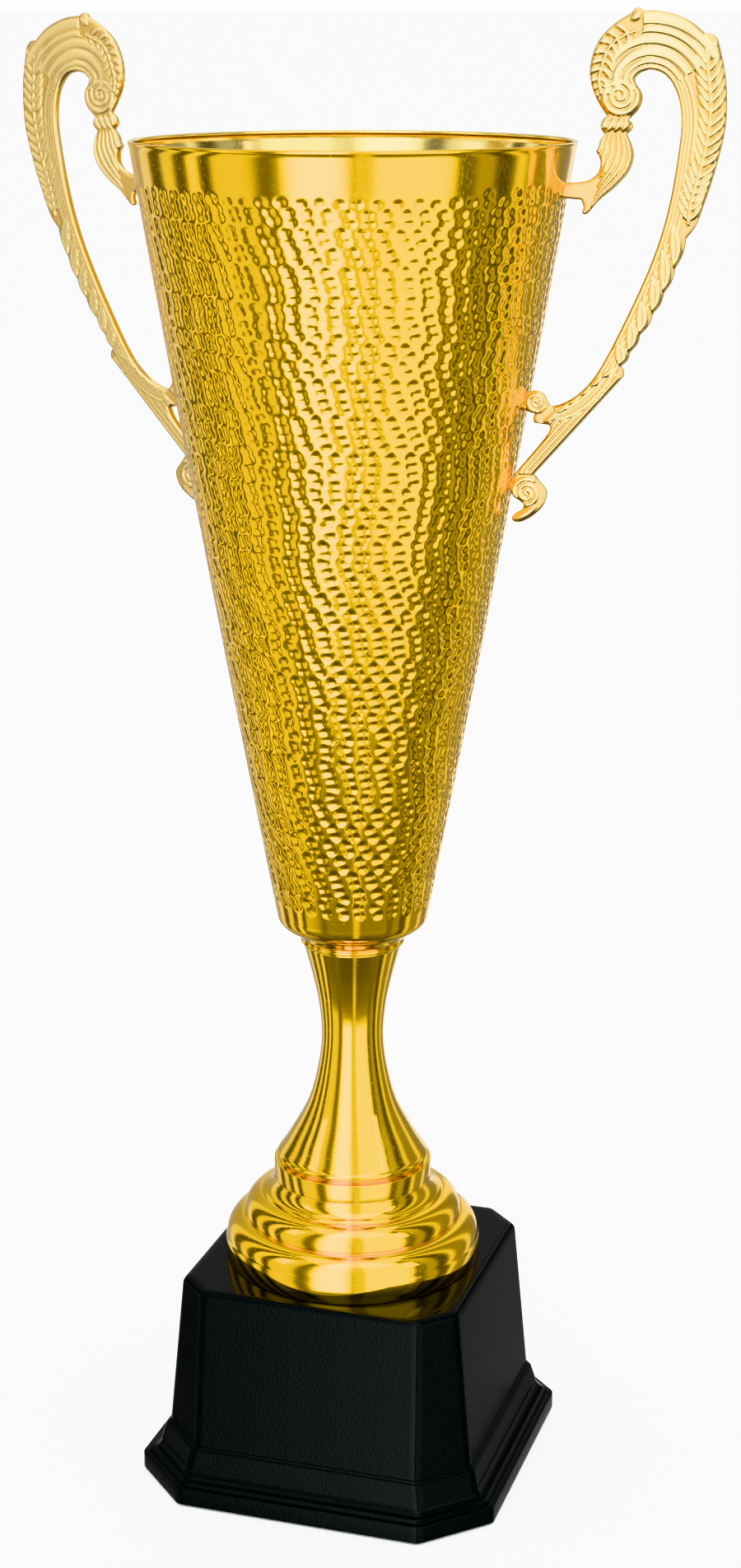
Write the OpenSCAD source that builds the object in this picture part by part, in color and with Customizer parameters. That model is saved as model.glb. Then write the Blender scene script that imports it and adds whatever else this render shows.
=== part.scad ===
// Two-handled presentation cup on an eight-sided plinth, in millimetres.
// The origin is on the ground at the centre of the plinth, +Z is up and -Y is the front of the plinth.
// Bowl, stem and foot are a stack on one tie rod. Nothing keys the stack, so it turns on the plinth.

/* [Bowl] */
// Outer diameter of the rim
rim_d = 179.6; // [179:0.2:181]
// Height of the rim above the ground
rim_z = 576; // [570:0.5:582]
// Wall of the bowl
bowl_wall = 1; // [0.8:0.1:1.4]
// Height of the underside of the bowl
bowl_floor_z = 245.6; // [245:0.1:246]
// Radius between the floor and the wall of the bowl
bowl_corner_r = 7; // [6:0.5:8]

/* [Stem and foot] */
// Outer diameter of the foot
foot_d = 112.4; // [112:0.2:113]
// Thickness of the metal of the foot
foot_wall = 1.2; // [0.8:0.1:1.6]
// Outer diameter of the collar on top of the foot
collar_d = 69; // [68.6:0.2:70]
// Thickness of the wall of the stem
stem_wall = 1.6; // [1.2:0.1:2]

/* [Plinth] */
// Half width of the bottom slab across its flats
slab_half = 80.5; // [80:0.5:82]
// Half width of the top across its flats
top_half = 62.6; // [62:0.1:63]
// Height of the top of the plinth above the ground
plinth_z = 93.4; // [93:0.1:94]
// Thickness of the top of the plinth
top_wall = 3.2; // [2.5:0.1:4]

/* [Handles] */
// Thickness of the cast handles
handle_t = 5.4; // [5:0.2:8]
// Angle that the cup stands turned on the plinth
cup_turn = -1.5; // [-5:0.5:5]
// Angle that each handle is set back from the cup's own diameter
handle_set_back = 3.4; // [0:0.2:5]
// Angle that the left handle leans out from the cup, and the right one in
handle_lean = 1.7; // [0:0.1:2]
// Angle that the left handle is twisted back about its upper fixing
left_twist = 10; // [0:1:10]

/* [Fixings] */
// Diameter of the tie rod
rod_d = 6; // [5:0.5:6]
// Running clearance of the tie rod in the plinth, on the radius
rod_clearance = 0.05; // [0.02:0.01:0.1]
// Diameter of the screws that hold the handles
screw_d = 2.4; // [2.2:0.1:3]

/* [Hidden] */
$fn = 96;
eps = 0.01;

gold = [0.86, 0.66, 0.16];
pale_gold = [0.88, 0.77, 0.47];
black = [0.16, 0.19, 0.19];
steel = [0.72, 0.73, 0.75];
grey = [0.62, 0.61, 0.58];

// Heights of the stack, from the ground up
shell_z = 1;                 // lower edge of the plinth shell, clear of the ground
cover_z = 2;                 // underside of the bottom cover
cover_t = 2;
ballast_z = cover_z + cover_t;
ballast_h = 24;
boss_z = 80;                 // lower face of the boss that the rod turns in
foot_top_z = 130.3;
collar_top_z = 138.6;
stem_top_z = 238.5;
nut_h = 5;
nut_af = 10;
washer_t = 1.6;
rod_hole_r = rod_d / 2 + 0.2;   // clearance hole in the stack
foot_r = foot_d / 2;
collar_r = collar_d / 2;

// Heights of the two screws that hold each handle, and the slope of the wall there
screw_z = [558.3, 474.6];
wall_tilt = 9.6;
screw_l = 9;
screw_head_r = 2.8;
screw_head_h = 1.8;
screw_washer_t = 0.8;
screw_washer_r = 4;
wall_gap = 0.15;             // a flat washer bridges the hollow of the wall by this much

// ---- curves -------------------------------------------------------------------------------

// One point of a Catmull-Rom curve between b and c
function spline_point(a, b, c, d, t) =
    0.5 * (2 * b + (c - a) * t + (2 * a - 5 * b + 4 * c - d) * t * t + (3 * b - a - 3 * c + d) * t * t * t);

// A smooth curve through the points, with steps stretches between two of them
function smooth(p, steps = 3) = let (n = len(p)) concat(
    [for (i = [0 : n - 2]) for (k = [0 : steps - 1])
        spline_point(p[max(i - 1, 0)], p[i], p[i + 1], p[min(i + 2, n - 1)], k / steps)],
    [p[n - 1]]);

// An arc about c from angle a to angle b
function arc(c, r, a, b, steps = 6) =
    [for (k = [0 : steps]) c + r * [cos(a + (b - a) * k / steps), sin(a + (b - a) * k / steps)]];

// ---- plinth -------------------------------------------------------------------------------

// One level of the plinth is [half width across the flats, leg of the corner chamfer, height]
function ring8(level) = let (h = level[0], k = level[0] - level[1], z = level[2])
    [[-k, -h, z], [k, -h, z], [h, -k, z], [h, k, z], [k, h, z], [-k, h, z], [-h, k, z], [-h, -k, z]];

// Hollow moulding between the lip and the upright band, as a quarter of an ellipse
lip_half = 77.9;
band_half = 72.6;
lip_z = 10.1;
band_z = 15.2;
function cove(steps = 5) = [for (k = [0 : steps]) let (a = 90 * k / steps, t = 1 - sin(a))
    [band_half + (lip_half - band_half) * t, 20.3 + 4 * t, lip_z + (band_z - lip_z) * (1 - cos(a))]];

outer_levels = concat(
    [[slab_half, 26.2, shell_z], [slab_half, 26.2, 8], [slab_half - 0.4, 26, 8.4],
     [lip_half, 24.5, 8.5]],
    cove(),
    [[70.7, 19.9, 22.3], [69.8, 19.4, 22.4], [69.8, 19.4, 23.4],
     [68.9, 18.9, 23.5], [68.8, 18.8, 24.5],
     [top_half, 13.9, plinth_z - 2.6], [top_half - 0.7, 13.6, plinth_z - 1.1],
     [top_half - 1.6, 13.2, plinth_z - 0.3], [top_half - 2.6, 12.8, plinth_z]]);

inner_levels = [[77.6, 24.6, 0.5], [77.6, 24.6, ballast_z], [75, 23.2, ballast_z + eps], [75, 23.2, 6.4],
                [67.8, 18.4, 13], [67.4, 18.2, 16], [65.8, 17.2, 25],
                [top_half - 2.8, 12.6, plinth_z - top_wall]];

// A closed solid through eight-sided levels, lowest first
module eight_sided(levels) {
    n = len(levels);
    polyhedron(
        points = [for (level = levels) for (p = ring8(level)) p],
        faces = concat(
            [[for (i = [0 : 7]) i]],
            [for (j = [0 : n - 2]) for (i = [0 : 7])
                [8 * j + i, 8 * (j + 1) + i, 8 * (j + 1) + (i + 1) % 8, 8 * j + (i + 1) % 8]],
            [[for (i = [7 : -1 : 0]) 8 * (n - 1) + i]]));
}

module base_shell() {
    rib_h = plinth_z - top_wall - boss_z;
    color(black) difference() {
        union() {
            difference() {
                eight_sided(outer_levels);
                eight_sided(inner_levels);
            }
            translate([0, 0, boss_z]) cylinder(r = 9, h = plinth_z - top_wall - boss_z + eps);
            for (a = [0, 90, 180, 270]) rotate([0, 0, a])
                translate([8, -1, plinth_z - top_wall - rib_h]) cube([52.5, 2, rib_h + eps]);
        }
        translate([0, 0, boss_z - 1]) cylinder(r = rod_d / 2 + rod_clearance, h = plinth_z - boss_z + 2);
    }
}

module base_ballast() {
    half = 58;
    color(grey) translate([0, 0, ballast_z]) difference() {
        linear_extrude(ballast_h) polygon([for (p = ring8([half, 14, 0])) [p[0], p[1]]]);
        translate([0, 0, -1]) cylinder(r = 22, h = ballast_h + 2);
    }
}

module base_cover() {
    color("dimgray") translate([0, 0, cover_z])
        linear_extrude(cover_t) polygon([for (p = ring8([77.6, 24.6, 0])) [p[0], p[1]]]);
}

module felt_pads() {
    color("darkgreen") for (x = [-58, 58], y = [-58, 58])
        translate([x, y, 0]) cylinder(r = 8, h = cover_z);
}

// ---- foot and stem ------------------------------------------------------------------------

// Outside of the foot: an upright band, two rounded steps and a hollow neck
foot_profile = concat(
    [[0, plinth_z], [foot_r, plinth_z], [foot_r, 102.2], [foot_r - 0.6, 102.9]],
    arc([46.6, 103.6], 9, 0, 86),
    arc([38.5, 114], 9.1, -6, 84),
    arc([41.2, foot_top_z], 6.7, 250, 180),
    [[0, foot_top_z]]);

module foot_shell() {
    color(gold) difference() {
        rotate_extrude() difference() {
            polygon(foot_profile);
            translate([-foot_wall, -foot_wall]) polygon(foot_profile);
        }
        translate([0, 0, foot_top_z - 5]) cylinder(r = rod_hole_r, h = 10);
    }
}

// Spool inside the foot that carries the clamping force
module foot_support() {
    spool_top = foot_top_z - foot_wall;
    color("whitesmoke") difference() {
        union() {
            translate([0, 0, plinth_z]) cylinder(r = 34, h = 2.5);
            translate([0, 0, plinth_z]) cylinder(r = 8, h = spool_top - plinth_z);
            translate([0, 0, spool_top - 2.5]) cylinder(r = 26, h = 2.5);
        }
        translate([0, 0, plinth_z - 1]) cylinder(r = rod_hole_r, h = 40);
    }
}

module foot_collar() {
    spigot_r = 29;
    profile = [[rod_hole_r, foot_top_z], [collar_r - 0.4, foot_top_z], [collar_r, foot_top_z + 0.4],
               [collar_r, collar_top_z - 0.5], [collar_r - 0.5, collar_top_z],
               [spigot_r, collar_top_z], [spigot_r, collar_top_z + 2], [rod_hole_r, collar_top_z + 2]];
    color(gold) rotate_extrude() polygon(profile);
}

// Hourglass of the stem: a bead on the collar, the flare, the waist and the wider top
stem_profile = concat(
    [[32, collar_top_z], [32, collar_top_z + 0.7]],
    arc([31.3, 140.9], 1.6, -60, 60, 4),
    smooth([[31.6, 143.2], [26.7, 151], [19.3, 165.2], [15.2, 180.6], [13.5, 194.6],
            [14.4, 208.6], [17.2, 222.8], [21.3, stem_top_z]], 4));

module stem() {
    inside = [for (p = stem_profile) [p[0] - stem_wall, p[1]]];
    color(gold) rotate_extrude() polygon(concat(stem_profile, [for (i = [len(inside) - 1 : -1 : 0]) inside[i]]));
}

module stem_plug() {
    plug_h = 5;
    color("whitesmoke") difference() {
        translate([0, 0, stem_top_z - plug_h]) cylinder(r1 = 17.6, r2 = 19.2, h = plug_h);
        translate([0, 0, stem_top_z - plug_h - 1]) cylinder(r = rod_hole_r, h = plug_h + 2);
    }
}

// ---- bowl ---------------------------------------------------------------------------------

// Outer radius of the bowl's wall at height z, a cone that swells very slightly
wall_z = bowl_floor_z + bowl_corner_r;
function bowl_r(z) = let (s = z - wall_z) rim_d / 2 - 57.2 + 0.189 * s - 0.0000387 * s * s;

// One wall of the bowl, set in by t, from the floor to the rim
function bowl_side(t, steps = 8) = concat(
    arc([25.7, bowl_floor_z + bowl_corner_r], bowl_corner_r - t, -90, -20, 5),
    [for (k = [0 : steps]) let (z = wall_z + (rim_z - 1 - wall_z) * k / steps) [bowl_r(z) - t, z]]);

module bowl_collar() {
    profile = [[rod_hole_r, stem_top_z], [21.6, stem_top_z], [22.3, stem_top_z + 0.6], [22.3, stem_top_z + 1.3],
               [21.7, stem_top_z + 1.9], [22.4, stem_top_z + 2.4], [24.8, bowl_floor_z - 1],
               [24.8, bowl_floor_z], [rod_hole_r, bowl_floor_z]];
    color(gold) rotate_extrude() polygon(profile);
}

module cup_bowl() {
    outside = bowl_side(0);
    inside = bowl_side(bowl_wall);
    color(gold) difference() {
        union() {
            rotate_extrude() polygon(concat(
                [[rod_hole_r, bowl_floor_z]], outside,
                [for (i = [len(inside) - 1 : -1 : 0]) inside[i]],
                [[rod_hole_r, bowl_floor_z + bowl_wall]]));
            rotate_extrude() translate([rim_d / 2 - 1, rim_z - 1]) circle(r = 1, $fn = 24);
        }
        at_all_screws() translate([0, 0, -5]) cylinder(r = screw_d / 2 + 0.3, h = 10, $fn = 32);
    }
}

module bowl_washer() {
    color(steel) translate([0, 0, bowl_floor_z + bowl_wall]) difference() {
        cylinder(r = 14, h = washer_t);
        translate([0, 0, -1]) cylinder(r = rod_hole_r, h = washer_t + 2);
    }
}

// ---- tie rod and its nuts -----------------------------------------------------------------

rod_bottom = 66;
rod_top = 257;

module hex_nut() {
    difference() {
        cylinder(r = nut_af / 2 / cos(30), h = nut_h, $fn = 6);
        translate([0, 0, -1]) cylinder(d = rod_d, h = nut_h + 2);
    }
}

module top_nut() {
    color(steel) translate([0, 0, bowl_floor_z + bowl_wall + washer_t]) hex_nut();
}

module tie_rod() {
    color(steel) translate([0, 0, rod_bottom]) cylinder(d = rod_d, h = rod_top - rod_bottom);
}

module lower_washer() {
    color(steel) translate([0, 0, boss_z - washer_t]) difference() {
        cylinder(r = 9, h = washer_t);
        translate([0, 0, -1]) cylinder(r = rod_hole_r, h = washer_t + 2);
    }
}

module spring_washer() {
    color(steel) translate([0, 0, boss_z - 2 * washer_t]) difference() {
        cylinder(r = 5.5, h = washer_t);
        translate([0, 0, -1]) cylinder(r = rod_hole_r, h = washer_t + 2);
        rotate([0, 0, 40]) translate([0, -0.5, -1]) cube([10, 1, washer_t + 2]);
    }
}

module lower_nut() {
    color(steel) translate([0, 0, boss_z - 2 * washer_t - nut_h]) hex_nut();
}

// ---- handles ------------------------------------------------------------------------------

// The handle's outline in its own plane as [distance from the cup's axis, height], one stroke
// after another: over the crest, down the outside, round the lower scroll and back up inside
leaf_top = [[81, 559.8], [90.5, 560.2], [98, 561], [102, 563.6], [103.3, 566.8], [103, 569.7], [101.5, 572]];
leaf_back = [[101.5, 572], [102.6, 574.2], [103.2, 576.3], [105, 578.7]];
knot_left = [[105, 578.7], [103.7, 580.4], [103.5, 582.7], [104.5, 584.4], [106, 585.4]];
head_back = [[106, 585.4], [102.7, 590.5], [100.3, 596], [99.3, 601.5], [100, 607.2], [102.2, 612.8], [105.7, 617.2],
             [110.5, 621], [115.6, 623.8]];
crest_bud = [[115.6, 623.8], [117, 625.6], [118.8, 625.8], [120.6, 624.7]];
crown = [[120.6, 624.7], [126.7, 624.4], [133, 622.7], [139, 619.8], [144.3, 615.4]];
plume_tip = [[144.3, 615.4], [146.8, 615.3], [148.9, 613.3], [149.9, 610.2]];
plume_edge = [[149.9, 610.2], [152, 600.2], [152.7, 589.8], [152.2, 580.2], [150.2, 570.7], [147.3, 560.5],
              [144.1, 551.2], [141, 543.3], [137.1, 538.2]];
rope_notches = [[137.1, 538.2], [132.8, 526.6], [128.4, 517.2], [124.2, 509.4], [119, 500.9], [114.9, 494.1],
                [111.3, 488.6]];
butt = [[111.3, 488.6], [112.4, 487.1], [112.4, 484.6]];
strut_under = [[112.4, 484.6], [75.7, 445]];
scroll = [[75.7, 445], [78.3, 441.7], [80.5, 438.8], [80.6, 435.7], [78.7, 431.5], [74.2, 427.5], [70, 425.5],
          [67.4, 425.4], [66.1, 426.8], [67.1, 428.6], [70.2, 430.6], [71, 432.4], [69.5, 434], [66.7, 436],
          [65.4, 439], [66.2, 442.6], [68.6, 446.5]];
strut_over = [[68.6, 446.5], [74.6, 453.3], [80.2, 459.9]];
side_leaf = [[80.2, 459.9], [82, 462.8], [82.1, 464.8], [78.8, 465.4], [75.9, 466], [75.5, 467.6], [76.1, 469.5]];
volute = [[76.1, 469.5], [73.5, 470.3], [70.4, 472], [70, 476], [74.2, 478.5], [77.7, 478.7], [80.2, 477.2],
          [81.4, 474.5], [82.9, 472.6]];
limb_inside = [[82.9, 472.6], [87.2, 473.7], [93.4, 477.2], [99.8, 483.5], [105.8, 493], [111.9, 504.7],
               [118.3, 517.7], [123.9, 530.6], [128.2, 543], [131.5, 556.5], [134, 571.5], [135, 581.8],
               [134.3, 590], [131.9, 596.5], [128.2, 600.7], [123.6, 602.2], [119.5, 601.4], [117, 599.2]];
hook = [[117, 599.2], [117.6, 597.3], [119.3, 594.8], [120, 591.8], [118.6, 587.8], [114.6, 583.8]];
knot_right = [[114.6, 583.8], [116, 582.4], [116, 580.4], [114, 578.3]];
leaf_front = [[114, 578.3], [115.8, 574.2], [116.5, 569.7], [114.5, 564], [109.5, 558.5], [103.1, 553.5], [99, 549]];
leaf_tail = [[99, 549], [97.2, 547.9], [96, 548.7], [96.5, 551], [95.6, 553.6]];
leaf_foot = [[95.6, 553.6], [90.5, 554.1], [81, 555.4]];

// The rope's edge swells between two notches
function swell(a, b, rise, steps = 4) = let (d = b - a, n = [-d[1], d[0]] / norm(d))
    [for (k = [0 : steps - 1]) a + d * k / steps + n * rise * sin(180 * k / steps)];
rope_edge = [for (i = [0 : len(rope_notches) - 2]) for (p = swell(rope_notches[i], rope_notches[i + 1], 0.9)) p];

handle_outline = concat(
    smooth(leaf_top), smooth(leaf_back), smooth(knot_left), smooth(head_back), smooth(crest_bud),
    smooth(crown), smooth(plume_tip), smooth(plume_edge), rope_edge, smooth(butt), strut_under,
    smooth(scroll), strut_over, smooth(side_leaf), smooth(volute), smooth(limb_inside), smooth(hook),
    smooth(knot_right), smooth(leaf_front), smooth(leaf_tail), smooth(leaf_foot));

// Drops each point that repeats the one before it
function no_repeats(p) = [for (i = [0 : len(p) - 1]) if (norm(p[i] - p[(i + 1) % len(p)]) > 0.05) p[i]];

// The handles stand on the cup, which stands turned on the plinth
function handle_angle(side) = side > 0 ? cup_turn + handle_set_back : cup_turn + 180 - handle_set_back;

module at_handle(side) {
    rotate([0, 0, handle_angle(side)]) children();
}

// Upper and lower fixing, each with its bearing from the upper one on a twisted handle
upper_r = bowl_r(screw_z[0]);
lower_r = bowl_r(screw_z[1]);
function lower_bearing(twist) = -asin((upper_r - lower_r) * sin(twist) / lower_r);

// Puts its children on the outside of the wall at each screw of a handle, with +Z square to the wall
module at_screws(twist) {
    for (k = [0, 1]) rotate([0, 0, k == 0 ? 0 : -lower_bearing(twist)])
        translate([bowl_r(screw_z[k]), 0, screw_z[k]]) rotate([0, 90 + wall_tilt, 0]) children();
}

// Puts its children at every screw of both handles
module at_all_screws() {
    at_handle(1) at_screws(0) children();
    at_handle(-1) at_screws(left_twist) children();
}

// The outline turned about the lower fixing, so that its top leans out
lean_at = [80, 473];
function leaning(p, angle) = [for (q = p) let (d = q - lean_at)
    lean_at + [d[0] * cos(angle) + d[1] * sin(angle), d[1] * cos(angle) - d[0] * sin(angle)]];

module handle(lean, twist) {
    color(pale_gold) difference() {
        translate([upper_r, 0, 0]) rotate([0, 0, -twist]) translate([-upper_r, 0, 0]) rotate([90, 0, 0])
            linear_extrude(handle_t, center = true) polygon(leaning(no_repeats(handle_outline), lean));
        rotate_extrude() polygon(concat([[0, bowl_floor_z]], bowl_side(0), [[0, rim_z]]));
        at_screws(twist) translate([0, 0, -1]) cylinder(d = screw_d, h = screw_l - 2, $fn = 32);
    }
}

module handle_right() {
    at_handle(1) handle(-handle_lean, 0);
}

module handle_left() {
    at_handle(-1) handle(handle_lean, left_twist);
}

module handle_screws() {
    head_base = -bowl_wall - wall_gap - screw_washer_t;
    color(steel) at_all_screws() {
        translate([0, 0, head_base - screw_head_h]) cylinder(r = screw_head_r, h = screw_head_h, $fn = 32);
        translate([0, 0, head_base - eps]) cylinder(d = screw_d, h = screw_l - 2, $fn = 32);
    }
}

module handle_washers() {
    color(steel) at_all_screws() translate([0, 0, -bowl_wall - wall_gap - screw_washer_t]) difference() {
        cylinder(r = screw_washer_r, h = screw_washer_t, $fn = 32);
        translate([0, 0, -1]) cylinder(r = screw_d / 2 + 0.2, h = screw_washer_t + 2, $fn = 32);
    }
}

base_shell();
base_ballast();
base_cover();
felt_pads();
foot_shell();
foot_support();
foot_collar();
stem();
stem_plug();
bowl_collar();
cup_bowl();
bowl_washer();
top_nut();
tie_rod();
lower_washer();
spring_washer();
lower_nut();
handle_right();
handle_left();
handle_screws();
handle_washers();
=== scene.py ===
"""A two-handled presentation cup on an eight-sided plinth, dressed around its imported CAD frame.

Lengths in the classes are millimetres, and every mesh is scaled to metres as it is made.
Heights are above the table, and the cup's axis is the Z axis.
"""

from __future__ import annotations

import logging
import math
from dataclasses import dataclass
from enum import Enum
from typing import Sequence

import bpy
import numpy as np
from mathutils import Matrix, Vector
from mathutils.geometry import delaunay_2d_cdt


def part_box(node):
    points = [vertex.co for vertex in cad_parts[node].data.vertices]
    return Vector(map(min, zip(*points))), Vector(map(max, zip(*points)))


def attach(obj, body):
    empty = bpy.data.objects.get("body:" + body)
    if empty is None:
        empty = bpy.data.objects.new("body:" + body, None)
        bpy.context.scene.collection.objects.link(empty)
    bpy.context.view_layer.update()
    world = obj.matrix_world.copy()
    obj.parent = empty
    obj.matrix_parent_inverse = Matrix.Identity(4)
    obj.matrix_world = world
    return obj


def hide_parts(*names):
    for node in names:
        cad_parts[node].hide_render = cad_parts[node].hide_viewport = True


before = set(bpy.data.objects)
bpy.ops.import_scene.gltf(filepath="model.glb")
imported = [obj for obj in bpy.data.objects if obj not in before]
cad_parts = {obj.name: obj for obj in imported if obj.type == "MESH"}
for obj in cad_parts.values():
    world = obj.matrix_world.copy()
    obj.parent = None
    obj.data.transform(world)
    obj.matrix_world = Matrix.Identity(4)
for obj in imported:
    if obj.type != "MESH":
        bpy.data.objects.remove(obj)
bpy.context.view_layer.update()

log = logging.getLogger("cup")

MM = 0.001
SEED = 11
# Point attribute that sets painted shade in the grooves and pits of plated pieces
GROOVE_SHADE_ATTRIBUTE = "groove_shade"
FLOAT = "NodeSocketFloat"
COLOUR = "NodeSocketColor"
FULL_TURN = 2 * math.pi
BLOCK = 2000  # points measured at a time

Point = tuple[float, float]
Place = tuple[float, float, float]
Colour = tuple[float, float, float]
Path = Sequence[Point]


class Body(Enum):
    """The two bodies of the frame."""

    BASE = "base"
    CUP = "cup"


class Slot(Enum):
    """The record's material slots, listed beside the turned parts but given to no piece."""

    GOLD_METAL = "gold_metal"
    CHAMPAGNE = "champagne_plastic"
    GOLD_PLASTIC = "gold_plastic"
    BLACK = "black_plastic"


class Taper(Enum):
    """How a raised stroke narrows along its length."""

    EVEN = "even"
    LENS = "lens"


# ---- Curves ----


def unit(rows: np.ndarray) -> np.ndarray:
    """Scales each row to length one."""
    return rows / np.linalg.norm(rows, axis=-1, keepdims=True)


def spun(x: np.ndarray, y: np.ndarray, degrees: float) -> tuple[np.ndarray, np.ndarray]:
    """Turns places counterclockwise about the origin."""
    c, s = math.cos(math.radians(degrees)), math.sin(math.radians(degrees))
    return x * c - y * s, x * s + y * c


def sampled(line: np.ndarray, marks: np.ndarray, wanted: np.ndarray) -> np.ndarray:
    """Reads a line, whose points have rising marks, at the wanted marks."""
    return np.stack([np.interp(wanted, marks, column) for column in line.T], -1)


def rounded(start: np.ndarray, corner: np.ndarray, end: np.ndarray, shares: Sequence[float]) -> list[np.ndarray]:
    """Draws the curve that cuts a corner from start to end."""
    return [(1 - t) ** 2 * start + 2 * t * (1 - t) * corner + t**2 * end for t in shares]


def smooth_curve(points: Path, steps: int = 6) -> np.ndarray:
    """Draws a smooth curve through points.

    Args:
        points: The points that the curve passes.
        steps: Stretches between two neighbouring points.

    Returns:
        The curve as an array of points, first and last ones included.
    """
    p = np.asarray(points, float)
    ends = np.vstack([p[:1], p, p[-1:]])
    t = np.arange(steps)[:, None] / steps
    parts = []
    for a, b, c, d in zip(ends, ends[1:], ends[2:], ends[3:]):
        square, cube = 2 * a - 5 * b + 4 * c - d, 3 * b - a - 3 * c + d
        parts.append(0.5 * (2 * b + (c - a) * t + square * t**2 + cube * t**3))
    return np.vstack(parts + [p[-1:]])


def arc(centre: Point, radius: float, start: float, end: float, steps: int = 12) -> np.ndarray:
    """Draws a circular arc.

    Args:
        centre: Centre of the circle.
        radius: Its radius.
        start: First angle in degrees.
        end: Last angle in degrees.
        steps: Stretches along the arc.

    Returns:
        The points of the arc.
    """
    a = np.radians(np.linspace(start, end, steps + 1))
    return np.stack([centre[0] + radius * np.cos(a), centre[1] + radius * np.sin(a)], -1)


def evenly(line: np.ndarray, gap: float) -> np.ndarray:
    """Spaces points evenly along a line.

    Args:
        line: The line's points.
        gap: The distance wanted between two points.

    Returns:
        The new points, with both ends kept.
    """
    s = np.concatenate([[0], np.cumsum(np.linalg.norm(np.diff(line, axis=0), axis=1))])
    count = max(1, int(round(s[-1] / gap)))
    return sampled(line, s, np.linspace(0, s[-1], count + 1))


def nearest_on_line(points: np.ndarray, line: np.ndarray) -> tuple[np.ndarray, np.ndarray]:
    """Measures how far points are from a line.

    Args:
        points: The points to measure.
        line: The line's points.

    Returns:
        The distance of each point, and the share of the line's length at its nearest place.
    """
    seg = np.diff(line, axis=0)
    length = np.maximum(np.linalg.norm(seg, axis=1), 1e-9)
    begin = np.concatenate([[0], np.cumsum(length)])
    gap, share = np.empty(len(points)), np.empty(len(points))
    for i in range(0, len(points), BLOCK):
        rel = points[i : i + BLOCK, None] - line[None, :-1]
        t = np.clip((rel * seg).sum(-1) / length**2, 0, 1)
        d = np.linalg.norm(rel - t[..., None] * seg, axis=-1)
        k = d.argmin(1)
        row = np.arange(len(k))
        gap[i : i + BLOCK] = d[row, k]
        share[i : i + BLOCK] = (begin[k] + t[row, k] * length[k]) / begin[-1]
    return gap, share


def inside(points: np.ndarray, outline: np.ndarray) -> np.ndarray:
    """Tells which points lie in a closed outline.

    Args:
        points: The points to test.
        outline: The outline's corners.

    Returns:
        True for each point that lies inside.
    """
    a, b = outline, np.roll(outline, -1, axis=0)
    hit = np.zeros(len(points), bool)
    for i in range(0, len(points), BLOCK):
        x, y = points[i : i + BLOCK, 0:1], points[i : i + BLOCK, 1:2]
        spans = (a[:, 1] > y) != (b[:, 1] > y)
        cross = a[:, 0] + (y - a[:, 1]) * (b[:, 0] - a[:, 0]) / (b[:, 1] - a[:, 1] + 1e-12)
        hit[i : i + BLOCK] = (spans & (x < cross)).sum(1) % 2 == 1
    return hit


# ---- Meshes ----


def make_piece(
    name: str,
    points: np.ndarray,
    faces: Sequence[np.ndarray],
    body: Body,
    stands_for: str,
    materials: Sequence[bpy.types.Material],
    groove_shade: np.ndarray | None = None,
) -> bpy.types.Object:
    """Makes a mesh piece, hides the CAD node that it stands for and rides it on its body.

    Args:
        name: Name of the piece.
        points: Vertices in millimetres.
        faces: Arrays of faces, each with one number of corners.
        body: The body that carries the piece.
        stands_for: The CAD node that it replaces.
        materials: Its finishes.
        groove_shade: How deep each vertex lies in the relief, from 0 to 1, which sets the painted shade in its grooves
            and pits.

    Returns:
        The new object.
    """
    mesh = bpy.data.meshes.new(name)
    corner_lists = [np.asarray(f, np.int32) for f in faces]
    loops = np.concatenate([f.ravel() for f in corner_lists])
    totals = np.concatenate([np.full(len(f), f.shape[1], np.int32) for f in corner_lists])
    starts = np.concatenate([[0], np.cumsum(totals)[:-1]]).astype(np.int32)
    mesh.vertices.add(len(points))
    mesh.vertices.foreach_set("co", (np.asarray(points, float) * MM).ravel())
    mesh.loops.add(len(loops))
    mesh.loops.foreach_set("vertex_index", loops)
    mesh.polygons.add(len(totals))
    mesh.polygons.foreach_set("loop_start", starts)
    mesh.polygons.foreach_set("loop_total", totals)
    mesh.polygons.foreach_set("use_smooth", np.ones(len(totals), bool))
    mesh.update(calc_edges=True)
    mesh.validate()
    if groove_shade is not None:
        layer = mesh.attributes.new(GROOVE_SHADE_ATTRIBUTE, "FLOAT", "POINT")
        layer.data.foreach_set("value", np.clip(groove_shade, 0, 1).astype(np.float32))
    piece = bpy.data.objects.new(name, mesh)
    bpy.context.scene.collection.objects.link(piece)
    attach(piece, body.value)
    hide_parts(stands_for)
    for material in materials:
        mesh.materials.append(material)
    log.info("%s: %d points, %d faces", name, len(points), len(totals))
    return piece


def lattice_faces(rows: int, columns: int, close_rows: bool = True) -> np.ndarray:
    """Lists the four-cornered faces of a tube of rings.

    Args:
        rows: Number of rings.
        columns: Points in each ring.
        close_rows: Whether the last ring joins the first.

    Returns:
        The faces, facing out when the rings go up and their points go round counterclockwise.
    """
    r = np.arange(rows if close_rows else rows - 1)[:, None]
    c = np.arange(columns)[None, :]
    up, side = (r + 1) % rows, (c + 1) % columns
    quad = [r * columns + c, r * columns + side, up * columns + side, up * columns + c]
    return np.stack(np.broadcast_arrays(*quad), -1).reshape(-1, 4)


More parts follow.
